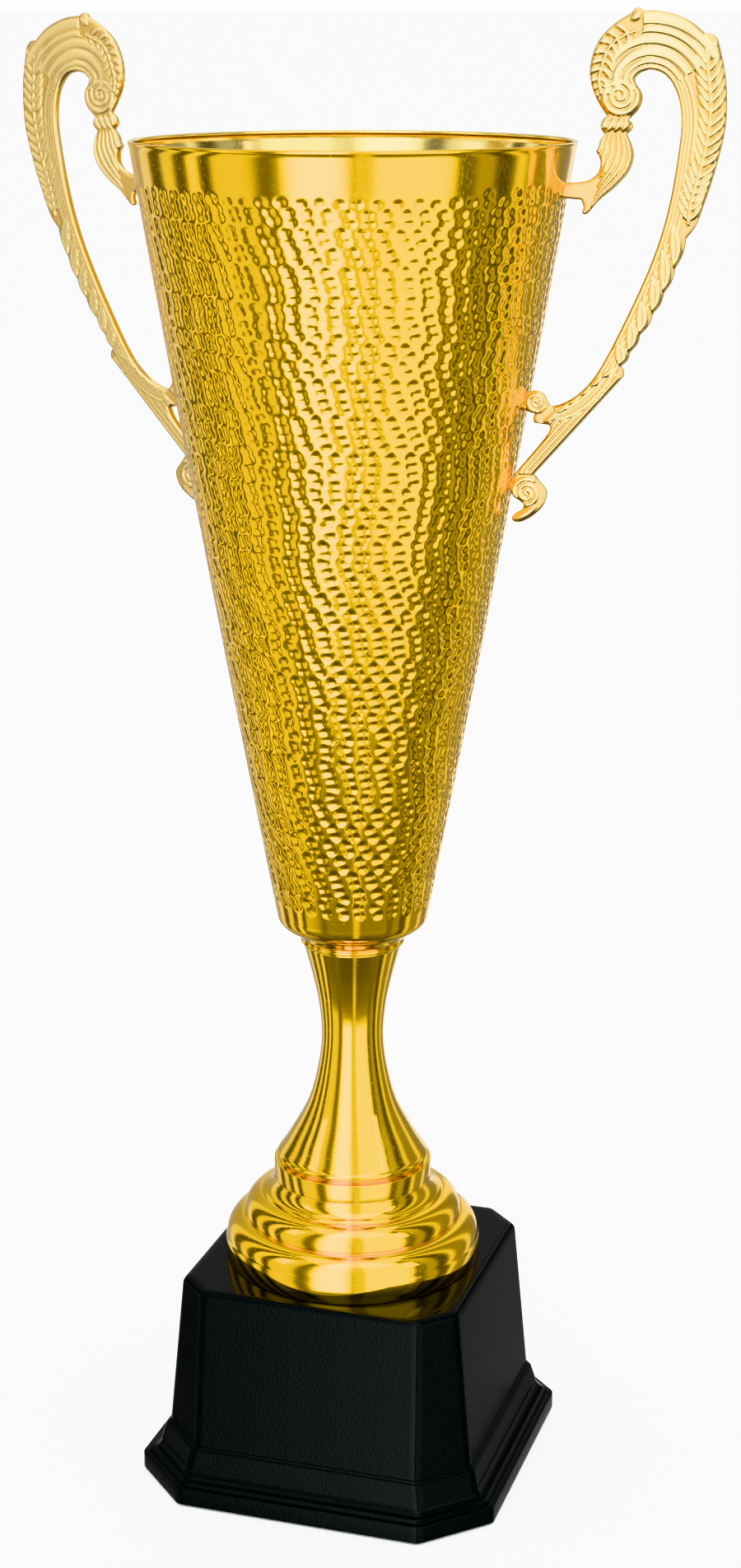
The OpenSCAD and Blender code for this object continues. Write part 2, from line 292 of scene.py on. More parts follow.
def turned(
    profile: np.ndarray, columns: int, depth: float | np.ndarray = 0.0
) -> tuple[np.ndarray, np.ndarray]:
    """Turns a closed profile about the Z axis.

    Args:
        profile: Radius and height of each point, outside upwards and inside downwards.
        columns: Points in each ring.
        depth: How far each vertex goes in from the profile.

    Returns:
        The vertices and the faces.
    """
    a = np.linspace(0, FULL_TURN, columns, endpoint=False)
    r, z = profile[:, 0:1] - depth, profile[:, 1:2]
    points = np.stack([r * np.cos(a), r * np.sin(a), z + 0 * a], -1).reshape(-1, 3)
    return points, lattice_faces(len(profile), columns)


def walled(outside: np.ndarray, wall: float) -> np.ndarray:
    """Gives a turned outside an inside at an even wall.

    Args:
        outside: The outside from its foot up, as radius and height.
        wall: Thickness of the wall.

    Returns:
        A closed profile.
    """
    along = unit(np.gradient(outside, axis=0))
    within = outside + wall * np.stack([-along[:, 1], along[:, 0]], -1)
    within[:, 1] = np.clip(within[:, 1], outside[0, 1], outside[-1, 1])
    return np.vstack([outside, within[::-1]])


# ---- Shader nodes ----


class NodeKit:
    """Adds and links the nodes of one tree."""

    def __init__(self, tree: bpy.types.NodeTree) -> None:
        """Keeps the tree."""
        self.tree = tree

    def add(self, kind: str, inputs: dict | None = None, **settings: object) -> bpy.types.Node:
        """Adds a node.

        Args:
            kind: Blender's name of the node type, without its ShaderNode prefix.
            inputs: Values or sockets for its inputs, by name or number.
            settings: Properties of the node.

        Returns:
            The node.
        """
        node = self.tree.nodes.new(kind if kind.startswith("Node") else "ShaderNode" + kind)
        for key, value in settings.items():
            setattr(node, key, value)
        for key, value in (inputs or {}).items():
            self.put(node.inputs[key], value)
        return node

    def put(self, socket: bpy.types.NodeSocket, value: object) -> None:
        """Links a socket, or sets its value."""
        if isinstance(value, bpy.types.NodeSocket):
            self.tree.links.new(value, socket)
        elif isinstance(value, tuple) and len(value) == 3 and socket.type == "RGBA":
            socket.default_value = (*value, 1.0)
        else:
            socket.default_value = value

    def math(self, operation: str, *values: object, clamp: bool = False) -> bpy.types.NodeSocket:
        """Adds a Math node and returns its output."""
        inputs = dict(enumerate(values))
        return self.add("Math", inputs, operation=operation, use_clamp=clamp).outputs[0]

    def times(self, first: object, second: object) -> bpy.types.NodeSocket:
        """Multiplies two values."""
        return self.math("MULTIPLY", first, second)

    def grown(self, value: object, by: object, base: object) -> bpy.types.NodeSocket:
        """Multiplies two values, adds a third and keeps the sum from 0 to 1."""
        return self.math("MULTIPLY_ADD", value, by, base, clamp=True)

    def blend(self, share: object, low: object, high: object) -> bpy.types.NodeSocket:
        """Adds a colour Mix node and returns its output."""
        return self.add("Mix", {0: share, 6: low, 7: high}, data_type="RGBA").outputs[2]

    def spread(self, value: object, low: float, high: float, to: Point = (0.0, 1.0)) -> bpy.types.NodeSocket:
        """Maps a value from one range to another with smooth ends and returns the output."""
        inputs = {0: value, 1: low, 2: high, 3: to[0], 4: to[1]}
        return self.add("MapRange", inputs, interpolation_type="SMOOTHSTEP").outputs[0]

    def place(self) -> bpy.types.NodeSocket:
        """Gives the object's own coordinates."""
        return self.add("TexCoord").outputs["Object"]

    def noise(self, place: object, scale: object, detail: float, **more: float) -> bpy.types.NodeSocket:
        """Adds a noise texture and returns its height."""
        inputs = {"Vector": place, "Scale": scale, "Detail": detail} | more
        return self.add("TexNoise", inputs).outputs[0]

    def group(self, tree: bpy.types.NodeTree, **inputs: object) -> bpy.types.bpy_prop_collection:
        """Places a node group, sets its inputs and returns its outputs."""
        node = self.add("Group")
        node.node_tree = tree
        for key, value in inputs.items():
            self.put(node.inputs[key], value)
        return node.outputs


def node_group(
    name: str, inputs: dict[str, object], outputs: dict[str, str]
) -> tuple[NodeKit, bpy.types.bpy_prop_collection, bpy.types.bpy_prop_collection]:
    """Starts a shader node group.

    Args:
        name: Name of the group.
        inputs: Its inputs with their starting values; three numbers make a colour.
        outputs: Its outputs with their socket types.

    Returns:
        The group's kit, the sockets that it is given and the sockets that it has to fill.
    """
    tree = bpy.data.node_groups.new(name, "ShaderNodeTree")
    for key, value in inputs.items():
        coloured = isinstance(value, tuple)
        socket = tree.interface.new_socket(key, in_out="INPUT", socket_type=COLOUR if coloured else FLOAT)
        socket.default_value = (*value, 1.0) if coloured else value
    for key, kind in outputs.items():
        tree.interface.new_socket(key, in_out="OUTPUT", socket_type=kind)
    kit = NodeKit(tree)
    return kit, kit.add("NodeGroupInput").outputs, kit.add("NodeGroupOutput").inputs


class Effects:
    """The shader node groups that several finishes share, each built once."""

    CLOUD_SCALE = 38.0
    HAIR_SCALE = 320.0
    HAIR_RANGE = (0.62, 0.72)
    GRAIN_BEND = 0.0008
    GRAIN_RANGE = (0.15, 0.75)
    DRIFT_SCALE = 24.0

    def __init__(self) -> None:
        """Builds the groups."""
        self.handled = self._handled()
        self.grain = self._grain()
        self.shade_and_tone = self._shade_and_tone()

    def _handled(self) -> bpy.types.NodeTree:
        """Builds the fine haze and hairlines that handling leaves on a polished face."""
        kit, given, made = node_group(
            "handled_surface",
            {"Roughness": 0.15, "Haze": 0.08, "Hairlines": 0.05, "Scale": 1.0},
            {"Roughness": FLOAT, "Height": FLOAT},
        )
        place, size = kit.place(), given["Scale"]
        cloud = kit.noise(place, kit.times(size, self.CLOUD_SCALE), 5.0)
        drawn = kit.add("Mapping", {"Vector": place, "Rotation": (0.3, 0.2, 0.9), "Scale": (1.0, 14.0, 2.0)})
        fine = kit.spread(kit.noise(drawn.outputs[0], kit.times(size, self.HAIR_SCALE), 2.0), *self.HAIR_RANGE)
        off_middle = kit.math("SUBTRACT", cloud, 0.5)
        hazed = kit.math("MULTIPLY_ADD", off_middle, given["Haze"], given["Roughness"])
        kit.put(made["Roughness"], kit.grown(fine, given["Hairlines"], hazed))
        kit.put(made["Height"], kit.times(fine, -1.0))
        return kit.tree

    def _grain(self) -> bpy.types.NodeTree:
        """Builds the pebbled grain of a moulded leather-like face."""
        outputs = {"Height": FLOAT, "Mask": FLOAT}
        kit, given, made = node_group("pebble_grain", {"Scale": 900.0, "Share": 1.0}, outputs)
        place = kit.place()
        bent = kit.add("TexNoise", {"Vector": place, "Scale": kit.times(given["Scale"], 0.5), "Detail": 1.0})
        bend = {0: bent.outputs["Color"], 1: (self.GRAIN_BEND,) * 3}
        shifted = kit.add("VectorMath", bend, operation="MULTIPLY").outputs[0]
        moved = kit.add("VectorMath", {0: place, 1: shifted}, operation="ADD").outputs[0]
        cells = kit.add("TexVoronoi", {"Vector": moved, "Scale": given["Scale"]}, feature="SMOOTH_F1")
        dome = kit.spread(cells.outputs["Distance"], *self.GRAIN_RANGE, (1.0, 0.0))
        kit.put(made["Height"], kit.times(dome, given["Share"]))
        kit.put(made["Mask"], dome)
        return kit.tree

    def _shade_and_tone(self) -> bpy.types.NodeTree:
        """Builds the colour of a plated face: painted shade that deepens it in its grooves and pits, and a random tone
        that makes it uneven overall.
        """
        kit, given, made = node_group(
            "painted_groove_shade",
            {"Face": (0.8, 0.6, 0.3), "Groove": (0.4, 0.2, 0.05), "Depth": 0.0, "Uneven": 0.06},
            {"Colour": COLOUR, "Mask": FLOAT},
        )
        cloud = kit.noise(kit.place(), self.DRIFT_SCALE, 4.0)
        drift = kit.times(kit.math("SUBTRACT", cloud, 0.5), given["Uneven"])
        # Share of the darker colour: painted shade where the relief is deep, plus the random uneven tone
        mask = kit.math("ADD", given["Depth"], drift, clamp=True)
        kit.put(made["Colour"], kit.blend(mask, given["Face"], given["Groove"]))
        kit.put(made["Mask"], mask)
        return kit.tree


@dataclass(frozen=True)
class Finish:
    """What every finish has: a material with one Principled shader."""

    name: str

    def start(self, **sockets: object) -> tuple[bpy.types.Material, NodeKit, bpy.types.bpy_prop_collection]:
        """Starts the material.

        Args:
            sockets: Values for the shader's sockets, with _ for a space in their names.
        """
        material = bpy.data.materials.new(self.name)
        material.use_nodes = True
        kit = NodeKit(material.node_tree)
        shader = material.node_tree.nodes["Principled BSDF"].inputs
        for key, value in sockets.items():
            kit.put(shader[key.replace("_", " ")], value)
        return material, kit, shader

    @staticmethod
    def fill(
        kit: NodeKit,
        shader: bpy.types.bpy_prop_collection,
        colour: bpy.types.NodeSocket,
        rough: bpy.types.NodeSocket,
        height: bpy.types.NodeSocket,
        distance: float,
        strength: float = 1.0,
    ) -> None:
        """Gives the shader its colour, its roughness and a fine height.

        Args:
            shader: The shader's sockets.
            colour: Colour of the face.
            rough: Roughness of the face.
            height: The fine height, from 0 to 1.
            distance: What a height of 1 means, in metres.
            strength: Share of the height that shows.
        """
        bump = kit.add("Bump", {"Height": height, "Distance": distance, "Strength": strength})
        for key, value in (("Base Color", colour), ("Roughness", rough), ("Normal", bump.outputs[0])):
            kit.put(shader[key], value)

    def build(self, effects: Effects) -> bpy.types.Material:
        """Builds the material.

        Args:
            effects: The shared node groups.

        Returns:
            The material.
        """
        raise NotImplementedError


@dataclass(frozen=True)
class PlatedGold(Finish):
    """Gold-coloured metal or metallised plastic under clear lacquer, with painted shade in its grooves and pits."""

    face: Colour
    # Darker colour painted into the grooves and pits as shade
    groove_shade: Colour
    roughness: float
    haze: float
    coat: float
    uneven: float = 0.05
    groove_roughness: float = 0.12

    def build(self, effects: Effects) -> bpy.types.Material:
        """Builds the gold, see Finish.build."""
        material, kit, shader = self.start(Metallic=1.0, Coat_Weight=self.coat, Coat_Roughness=0.06)
        # Relief depth sets the painted shade in grooves and pits; the group adds a random uneven tone
        depth = kit.add("Attribute", attribute_name=GROOVE_SHADE_ATTRIBUTE).outputs["Fac"]
        tint = kit.group(effects.shade_and_tone, Face=self.face, Groove=self.groove_shade, Depth=depth, Uneven=self.uneven)
        worn = kit.group(effects.handled, Roughness=self.roughness, Haze=self.haze, Hairlines=0.04)
        rough = kit.grown(tint["Mask"], self.groove_roughness, worn["Roughness"])
        self.fill(kit, shader, tint["Colour"], rough, worn["Height"], distance=0.00002, strength=0.4)
        return material


@dataclass(frozen=True)
class GrainedBlack(Finish):
    """Black moulded plastic: polished on top, finely grained on its sides."""

    colour: Colour
    top_roughness: float
    side_roughness: float
    grain_scale: float
    flat_above: float
    flat_fade: float = 0.1
    grain_lift: float = 1.8

    def build(self, effects: Effects) -> bpy.types.Material:
        """Builds the plastic, see Finish.build."""
        material, kit, shader = self.start(Specular_IOR_Level=0.14, Specular_Tint=(0.96, 1.0, 1.0))
        up = kit.add("SeparateXYZ", {0: kit.add("NewGeometry").outputs["True Normal"]}).outputs[2]
        top = kit.spread(up, self.flat_above - self.flat_fade, self.flat_above)
        side = kit.math("SUBTRACT", 1.0, top)
        grain = kit.group(effects.grain, Scale=self.grain_scale, Share=side)
        worn = kit.group(effects.handled, Roughness=self.top_roughness, Haze=0.05, Hairlines=0.10)
        rough = kit.grown(side, self.side_roughness - self.top_roughness, worn["Roughness"])
        pale = tuple(self.grain_lift * c for c in self.colour)
        colour = kit.blend(kit.times(grain["Mask"], side), self.colour, pale)
        self.fill(kit, shader, colour, rough, grain["Height"], distance=0.00003, strength=0.7)
        return material


@dataclass(frozen=True)
class ZincSteel(Finish):
    """Zinc-plated steel of screws, nuts and washers."""

    colour: Colour
    roughness: float
    spangle_scale: float = 700.0
    dulling: float = 0.72

    def build(self, effects: Effects) -> bpy.types.Material:
        """Builds the steel, see Finish.build."""
        material, kit, shader = self.start(Metallic=1.0)
        spangle = kit.add("TexVoronoi", {"Vector": kit.place(), "Scale": self.spangle_scale}).outputs["Color"]
        share = kit.add("SeparateColor", {0: spangle}).outputs[0]
        dull = tuple(self.dulling * c for c in self.colour)
        worn = kit.group(effects.handled, Roughness=self.roughness, Haze=0.15, Hairlines=0.15)
        colour = kit.blend(share, self.colour, dull)
        self.fill(kit, shader, colour, worn["Roughness"], worn["Height"], distance=0.00003)
        return material


@dataclass(frozen=True)
class DullSolid(Finish):
    """A dull solid such as board, felt, cast ballast or plain moulded plastic, with its own speckle."""

    colour: Colour
    speck: Colour
    roughness: float
    scale: float
    depth: float

    def build(self, effects: Effects) -> bpy.types.Material:
        """Builds the solid, see Finish.build."""
        material, kit, shader = self.start()
        stretched = kit.add("Mapping", {"Vector": kit.place(), "Scale": (1.0, 0.35, 1.0)}).outputs[0]
        fibre = kit.noise(stretched, self.scale, 8.0, Roughness=0.7)
        colour = kit.blend(kit.spread(fibre, 0.4, 0.65), self.colour, self.speck)
        worn = kit.group(effects.handled, Roughness=self.roughness, Haze=0.1, Hairlines=0.0)
        self.fill(kit, shader, colour, worn["Roughness"], fibre, distance=self.depth)
        return material


# The second colour of each gold is painted shade for its grooves and pits
BOWL_GOLD = PlatedGold("bowl_gold", (0.93, 0.56, 0.02), (0.78, 0.42, 0.01), 0.1, 0.06, 0.15)
LINING_GOLD = PlatedGold("lining_gold", (0.96, 0.76, 0.27), (0.9, 0.66, 0.16), 0.13, 0.06, 0.1)
FOOT_GOLD = PlatedGold("foot_gold", (0.93, 0.56, 0.02), (0.78, 0.42, 0.01), 0.08, 0.05, 0.15)
STEM_GOLD = PlatedGold("stem_gold", (0.92, 0.56, 0.03), (0.78, 0.42, 0.01), 0.09, 0.05, 0.15)
HANDLE_GOLD = PlatedGold("champagne_gold", (0.94, 0.745, 0.33), (0.66, 0.40, 0.09), 0.22, 0.08, 0.4, 0.08)
PLINTH_BLACK = GrainedBlack("plinth_black", (0.0006, 0.001, 0.001), 0.05, 0.17, 1300.0, 0.97)
STEEL = ZincSteel("zinc_steel", (0.62, 0.64, 0.66), 0.3)
INNER_PLASTIC = DullSolid("inner_plastic", (0.02, 0.02, 0.02), (0.035, 0.035, 0.035), 0.5, 300.0, 0.00003)
BALLAST = DullSolid("ballast_stone", (0.25, 0.24, 0.22), (0.4, 0.38, 0.35), 0.85, 220.0, 0.0003)
BOARD = DullSolid("grey_board", (0.3, 0.28, 0.25), (0.42, 0.4, 0.36), 0.9, 400.0, 0.00006)
FELT = DullSolid("black_felt", (0.015, 0.015, 0.017), (0.05, 0.05, 0.055), 0.95, 900.0, 0.0003)


# ---- Cup ----


@dataclass
class HammeredBowl:
    """The tall spun bowl with its hammered outside, smooth band and rolled rim."""

    rim_z: float
    rim_radius: float
    floor_z: float = 245.6
    floor_radius: float = 25.7
    wall: float = 1.0
    cone_z: float = 252.6
    cone_inset: float = 57.2
    cone_slope: float = 0.189
    cone_bow: float = 0.0000387
    corner: float = 7.0
    roll: float = 1.0
    below_roll: Point = (2.4, 2.6)
    hole_radius: float = 3.2
    pit_from: float = 256.0
    pit_to: float = 559.0
    pit_depth: float = 0.48
    pit_radius: float = 2.75
    pit_squash: float = 0.76
    pit_bowl: float = 1.15
    cell_round: float = 7.5
    cell_down: float = 7.2
    pair_shift: float = 1.0
    pair_drop: float = 0.6
    scatter_round: float = 0.3
    scatter_down: float = 0.22
    size_spread: Point = (0.92, 1.08)
    depth_spread: Point = (0.85, 1.1)
    step_spread: Point = (0.94, 1.06)
    # How strongly the pits are darkened with painted shade
    painted_groove_shade: float = 0.25
    columns: int = 600
    outer_rows: int = 350
    inner_rows: int = 150

    def radius(self, z: float | np.ndarray) -> float | np.ndarray:
        """Gives the outside radius of the cone at a height."""
        s = z - self.cone_z
        return self.rim_radius - self.cone_inset + self.cone_slope * s - self.cone_bow * s**2

    def pits(self) -> np.ndarray:
        """Lays the hammered cells in pairs along one long helix.

        Returns:
            Angle, height, radius and depth of each pit.
        """
        rng = np.random.default_rng(SEED)
        rows, angle, z = [], 0.0, self.pit_to + self.cell_down
        while z > self.pit_from + self.cell_down / 2:
            r = float(self.radius(z))
            for side in (-1, 1):
                pit_angle = angle + side * self.pair_shift / 2 / r + rng.normal(0, self.scatter_round) / r
                middle = z - self.cell_down / 4 * (1 + side) - self.pair_drop
                height = middle + rng.normal(0, self.scatter_down)
                size = self.pit_radius * rng.uniform(*self.size_spread)
                rows.append((pit_angle, height, size, self.pit_depth * rng.uniform(*self.depth_spread)))
            step = self.cell_round * rng.uniform(*self.step_spread) / r
            angle += step
            z -= self.cell_down * step / FULL_TURN
        made = np.array(rows)
        return made[made[:, 1] < self.pit_to]

    def dents(self, z: np.ndarray, pits: np.ndarray) -> np.ndarray:
        """Works out how far the hammered pits go in.

        Args:
            z: Heights of the rows, all falling or all rising.
            pits: The pits.

        Returns:
            The depth at each row and column.
        """
        depth = np.zeros((len(z), self.columns))
        turn = FULL_TURN / self.columns
        for angle, height, size, deep in pits:
            near = np.nonzero(abs(z - height) < size * self.pit_squash)[0]
            if not len(near):
                continue
            r = float(self.radius(height))
            half = int(size / r / turn) + 1
            middle = int(round(angle / turn))
            cols = np.arange(middle - half, middle + half + 1)
            down = (z[near] - height)[:, None] / self.pit_squash
            away = np.hypot((cols * turn - angle)[None, :] * r, down) / size
            place = np.ix_(near, cols % self.columns)
            depth[place] = np.maximum(depth[place], deep * np.clip(1 - away**2, 0, 1) ** self.pit_bowl)
        return depth

    def build(self, effects: Effects) -> None:
        """Builds and dresses the bowl.

        Args:
            effects: The shared node groups.
        """
        below_out, below_in = self.below_roll
        ring = (self.rim_radius - self.roll, self.rim_z - self.roll)
        heel = (self.floor_radius, self.cone_z)
        floor = [[r, self.floor_z] for r in np.linspace(self.hole_radius, self.floor_radius, 12)]
        corner = arc(heel, self.corner, -90, -20, 12)
        out_z = np.linspace(self.cone_z, self.rim_z - below_out, self.outer_rows)
        outside = np.stack([self.radius(out_z), out_z], -1)
        rolled = arc(ring, self.roll, -30, 220, 16)
        in_z = np.linspace(self.rim_z - below_in, self.cone_z, self.inner_rows)
        within = np.stack([self.radius(in_z) - self.wall, in_z], -1)
        under = arc(heel, self.corner - self.wall, -20, -90, 8)
        pan = [[r, self.floor_z + self.wall] for r in np.linspace(25, self.hole_radius, 12)]
        profile = np.vstack([floor, corner, outside, rolled, within, under, pan])
        pits = self.pits()
        depth = np.zeros((len(profile), self.columns))
        out_row = len(floor) + len(corner)
        roll_row = out_row + len(out_z)
        in_row = roll_row + len(rolled)
        depth[out_row:roll_row] = self.dents(out_z, pits)
        depth[in_row : in_row + len(in_z)] = self.dents(in_z, pits)
        points, faces = turned(profile, self.columns, depth)
        # Painted shade: the gold darkens in each pit as it deepens
        groove_shade = (depth / self.pit_depth).ravel() * self.painted_groove_shade
        golds = [BOWL_GOLD.build(effects), LINING_GOLD.build(effects)]
        bowl = make_piece(
            "hammered_bowl", points, [faces], Body.CUP, "cup_bowl", golds, groove_shade
        )
        lining_row = roll_row + len(rolled) // 2
        lining = (np.arange(len(faces)) >= lining_row * self.columns).astype(np.int32)
        bowl.data.polygons.foreach_set("material_index", lining)
        log.info("hammered bowl: %d pits", len(pits))


@dataclass
class TurnedStack:
    """The turned parts between plinth and bowl: foot, foot collar, stem and bowl collar."""

    foot_z: float
    foot_radius: float
    foot_top_z: float = 130.3
    foot_wall: float = 1.2
    collar_radius: float = 34.5
    collar_top_z: float = 138.6
    collar_round: float = 0.5
    spigot_radius: float = 29.0
    spigot_height: float = 2.0
    stem_top_z: float = 238.5
    stem_wall: float = 1.6
    hole_radius: float = 3.2
    columns: int = 224

    # Radius and height: the foot's edge above and within its own rim, the stem, the bowl collar above the stem
    FOOT_EDGE = ((-0.3, 0), (0, 0.3), (0, 8.4), (-0.15, 9), (-0.6, 9.5))
    FLARE = ((31.6, 143.2), (26.7, 151), (19.3, 165.2), (15.2, 180.6), (13.5, 194.6), (14.4, 208.6), (17.2, 222.8))
    FLARE_TOP = 21.3
    BOWL_RING = (
        (21.6, 0), (22.1, 0.25), (22.3, 0.6), (22.3, 1.3), (22.1, 1.65), (21.7, 1.9), (21.9, 2.2),
        (22.4, 2.4), (23.3, 4.0), (24.2, 5.4), (24.8, 6.2), (24.8, 7.1),
    )

    def foot(self) -> np.ndarray:
        """Draws the foot: an upright edge, two rounded steps and a cove under the collar."""
        base, top, hole = self.foot_z, self.foot_top_z, self.hole_radius
        edge = [[self.foot_radius + out, base + up] for out, up in self.FOOT_EDGE]
        lower = arc((46.6, base + 10.2), 9, 0, 86, 18)
        upper = arc((38.5, base + 20.6), 9.1, -6, 84, 18)
        cove = arc((41.2, top), 6.7, 250, 184, 14)
        outside = np.vstack([edge, lower, upper, cove, [[self.collar_radius, top]]])
        shell = walled(outside, self.foot_wall)
        half = len(outside)
        return np.vstack([shell[:half], [[hole, top], [hole, top - self.foot_wall]], shell[half + 1 :]])

    def foot_collar(self) -> np.ndarray:
        """Draws the plain ring on the foot, with a spigot for the stem."""
        low, high, hole, soft = self.foot_top_z, self.collar_top_z, self.hole_radius, self.collar_round
        lower = arc((self.collar_radius - soft, low + soft), soft, -90, 0, 4)
        upper = arc((self.collar_radius - soft, high - soft), soft, 0, 90, 4)
        tip, spigot = high + self.spigot_height, self.spigot_radius
        return np.vstack([[[hole, low]], lower, upper, [[spigot, high], [spigot, tip], [hole, tip]]])

    def stem(self) -> np.ndarray:
        """Draws the trumpet stem with the bead at its foot."""
        low = self.collar_top_z
        flare = smooth_curve(self.FLARE + ((self.FLARE_TOP, self.stem_top_z),), 12)
        bead = arc((31.3, low + 2.3), 1.6, -60, 60, 12)
        return walled(np.vstack([[[32, low], [32, low + 0.7]], bead, flare]), self.stem_wall)

    def bowl_collar(self) -> np.ndarray:
        """Draws the small stepped collar under the bowl."""
        side = [[r, self.stem_top_z + up] for r, up in self.BOWL_RING]
        return np.vstack([[[self.hole_radius, side[0][1]]], side, [[self.hole_radius, side[-1][1]]]])

    def build(self, effects: Effects) -> None:
        """Builds and dresses the four turned parts.

        Args:
            effects: The shared node groups.
        """
        foot_gold, stem_gold = FOOT_GOLD.build(effects), STEM_GOLD.build(effects)
        for name, profile, node, slot, material in (
            ("turned_foot", self.foot(), "foot_shell", Slot.GOLD_METAL, foot_gold),
            ("foot_ring", self.foot_collar(), "foot_collar", Slot.GOLD_PLASTIC, stem_gold),
            ("trumpet_stem", self.stem(), "stem", Slot.GOLD_PLASTIC, stem_gold),
            ("bowl_ring", self.bowl_collar(), "bowl_collar", Slot.GOLD_PLASTIC, stem_gold),
        ):
            points, faces = turned(profile, self.columns)
            make_piece(name, points, [faces], Body.CUP, node, [material])


# ---- Handles ----


@dataclass(frozen=True)
class Bead:
    """One raised stroke of the handle's relief."""

    path: Path
    width: float
    height: float
    taper: Taper = Taper.LENS

    LEAST = 0.05

    def shape(self, share: np.ndarray) -> np.ndarray:
        """Gives the stroke's width along its length, as a share of the widest."""
        if self.taper is Taper.EVEN:
            return np.ones_like(share)
        return np.clip(np.sin(math.pi * np.clip(share * 0.96 + 0.02, 0, 1)), self.LEAST, 1) ** 0.7

    def rise(self, points: np.ndarray) -> np.ndarray:
        """Works out how high the stroke stands.

        Args:
            points: Places in the handle's plane.

        Returns:
            The height at each place.
        """
        line = smooth_curve(self.path, 5)
        low, high = line.min(0) - self.width, line.max(0) + self.width
        near = np.all((points > low) & (points < high), axis=1)
        height = np.zeros(len(points))
        if near.any():
            gap, share = nearest_on_line(points[near], line)
            shape = self.shape(share)
            across = gap / (self.width * shape)
            height[near] = self.height * shape**0.5 * np.clip(1 - across**2, 0, 1) ** 0.7
        return height


@dataclass(frozen=True)
class Spiral:
    """A scroll's spiral: its middle, first and last radius, turns, last angle and the way it opens."""

    centre: Point
    inner: float
    outer: float
    turns: float
    start: float
    way: int

    def bead(self) -> Bead:
        """Draws the spiral as one stroke whose turns almost touch."""
        t = np.linspace(0, 1, int(self.turns * 10) + 1)
        radius = self.inner + (self.outer - self.inner) * t
        angle = math.radians(self.start) - self.way * FULL_TURN * self.turns * (1 - t)
        path = np.stack([self.centre[0] + radius * np.cos(angle), self.centre[1] + radius * np.sin(angle)], -1)
        return Bead(path, (self.outer - self.inner) / self.turns * 0.48, 0.95, Taper.EVEN)


@dataclass(frozen=True)
class Leaflets:
    """A row of leaflets on one side of a vein: 1 for its left as it runs, -1 for its right."""

    vein: Path
    count: int
    side: int
    reach: float
    sweep: float
    width: float
    height: float

    def beads(self) -> list[Bead]:
        """Draws the leaflets, which go out from the vein and back along it."""
        vein = smooth_curve(self.vein)
        along = unit(np.gradient(vein, axis=0))
        made = []
        for k in range(self.count):
            i = int(round((k + 0.5) / self.count * (len(vein) - 1)))
            p, d = vein[i], along[i]
            out = self.side * np.array([-d[1], d[0]])
            bend = p + out * self.reach * 0.52 - d * self.sweep * 0.42
            tip = p + out * self.reach - d * self.sweep
            made.append(Bead((p + d * 0.6, bend, tip), self.width, self.height))
        return made


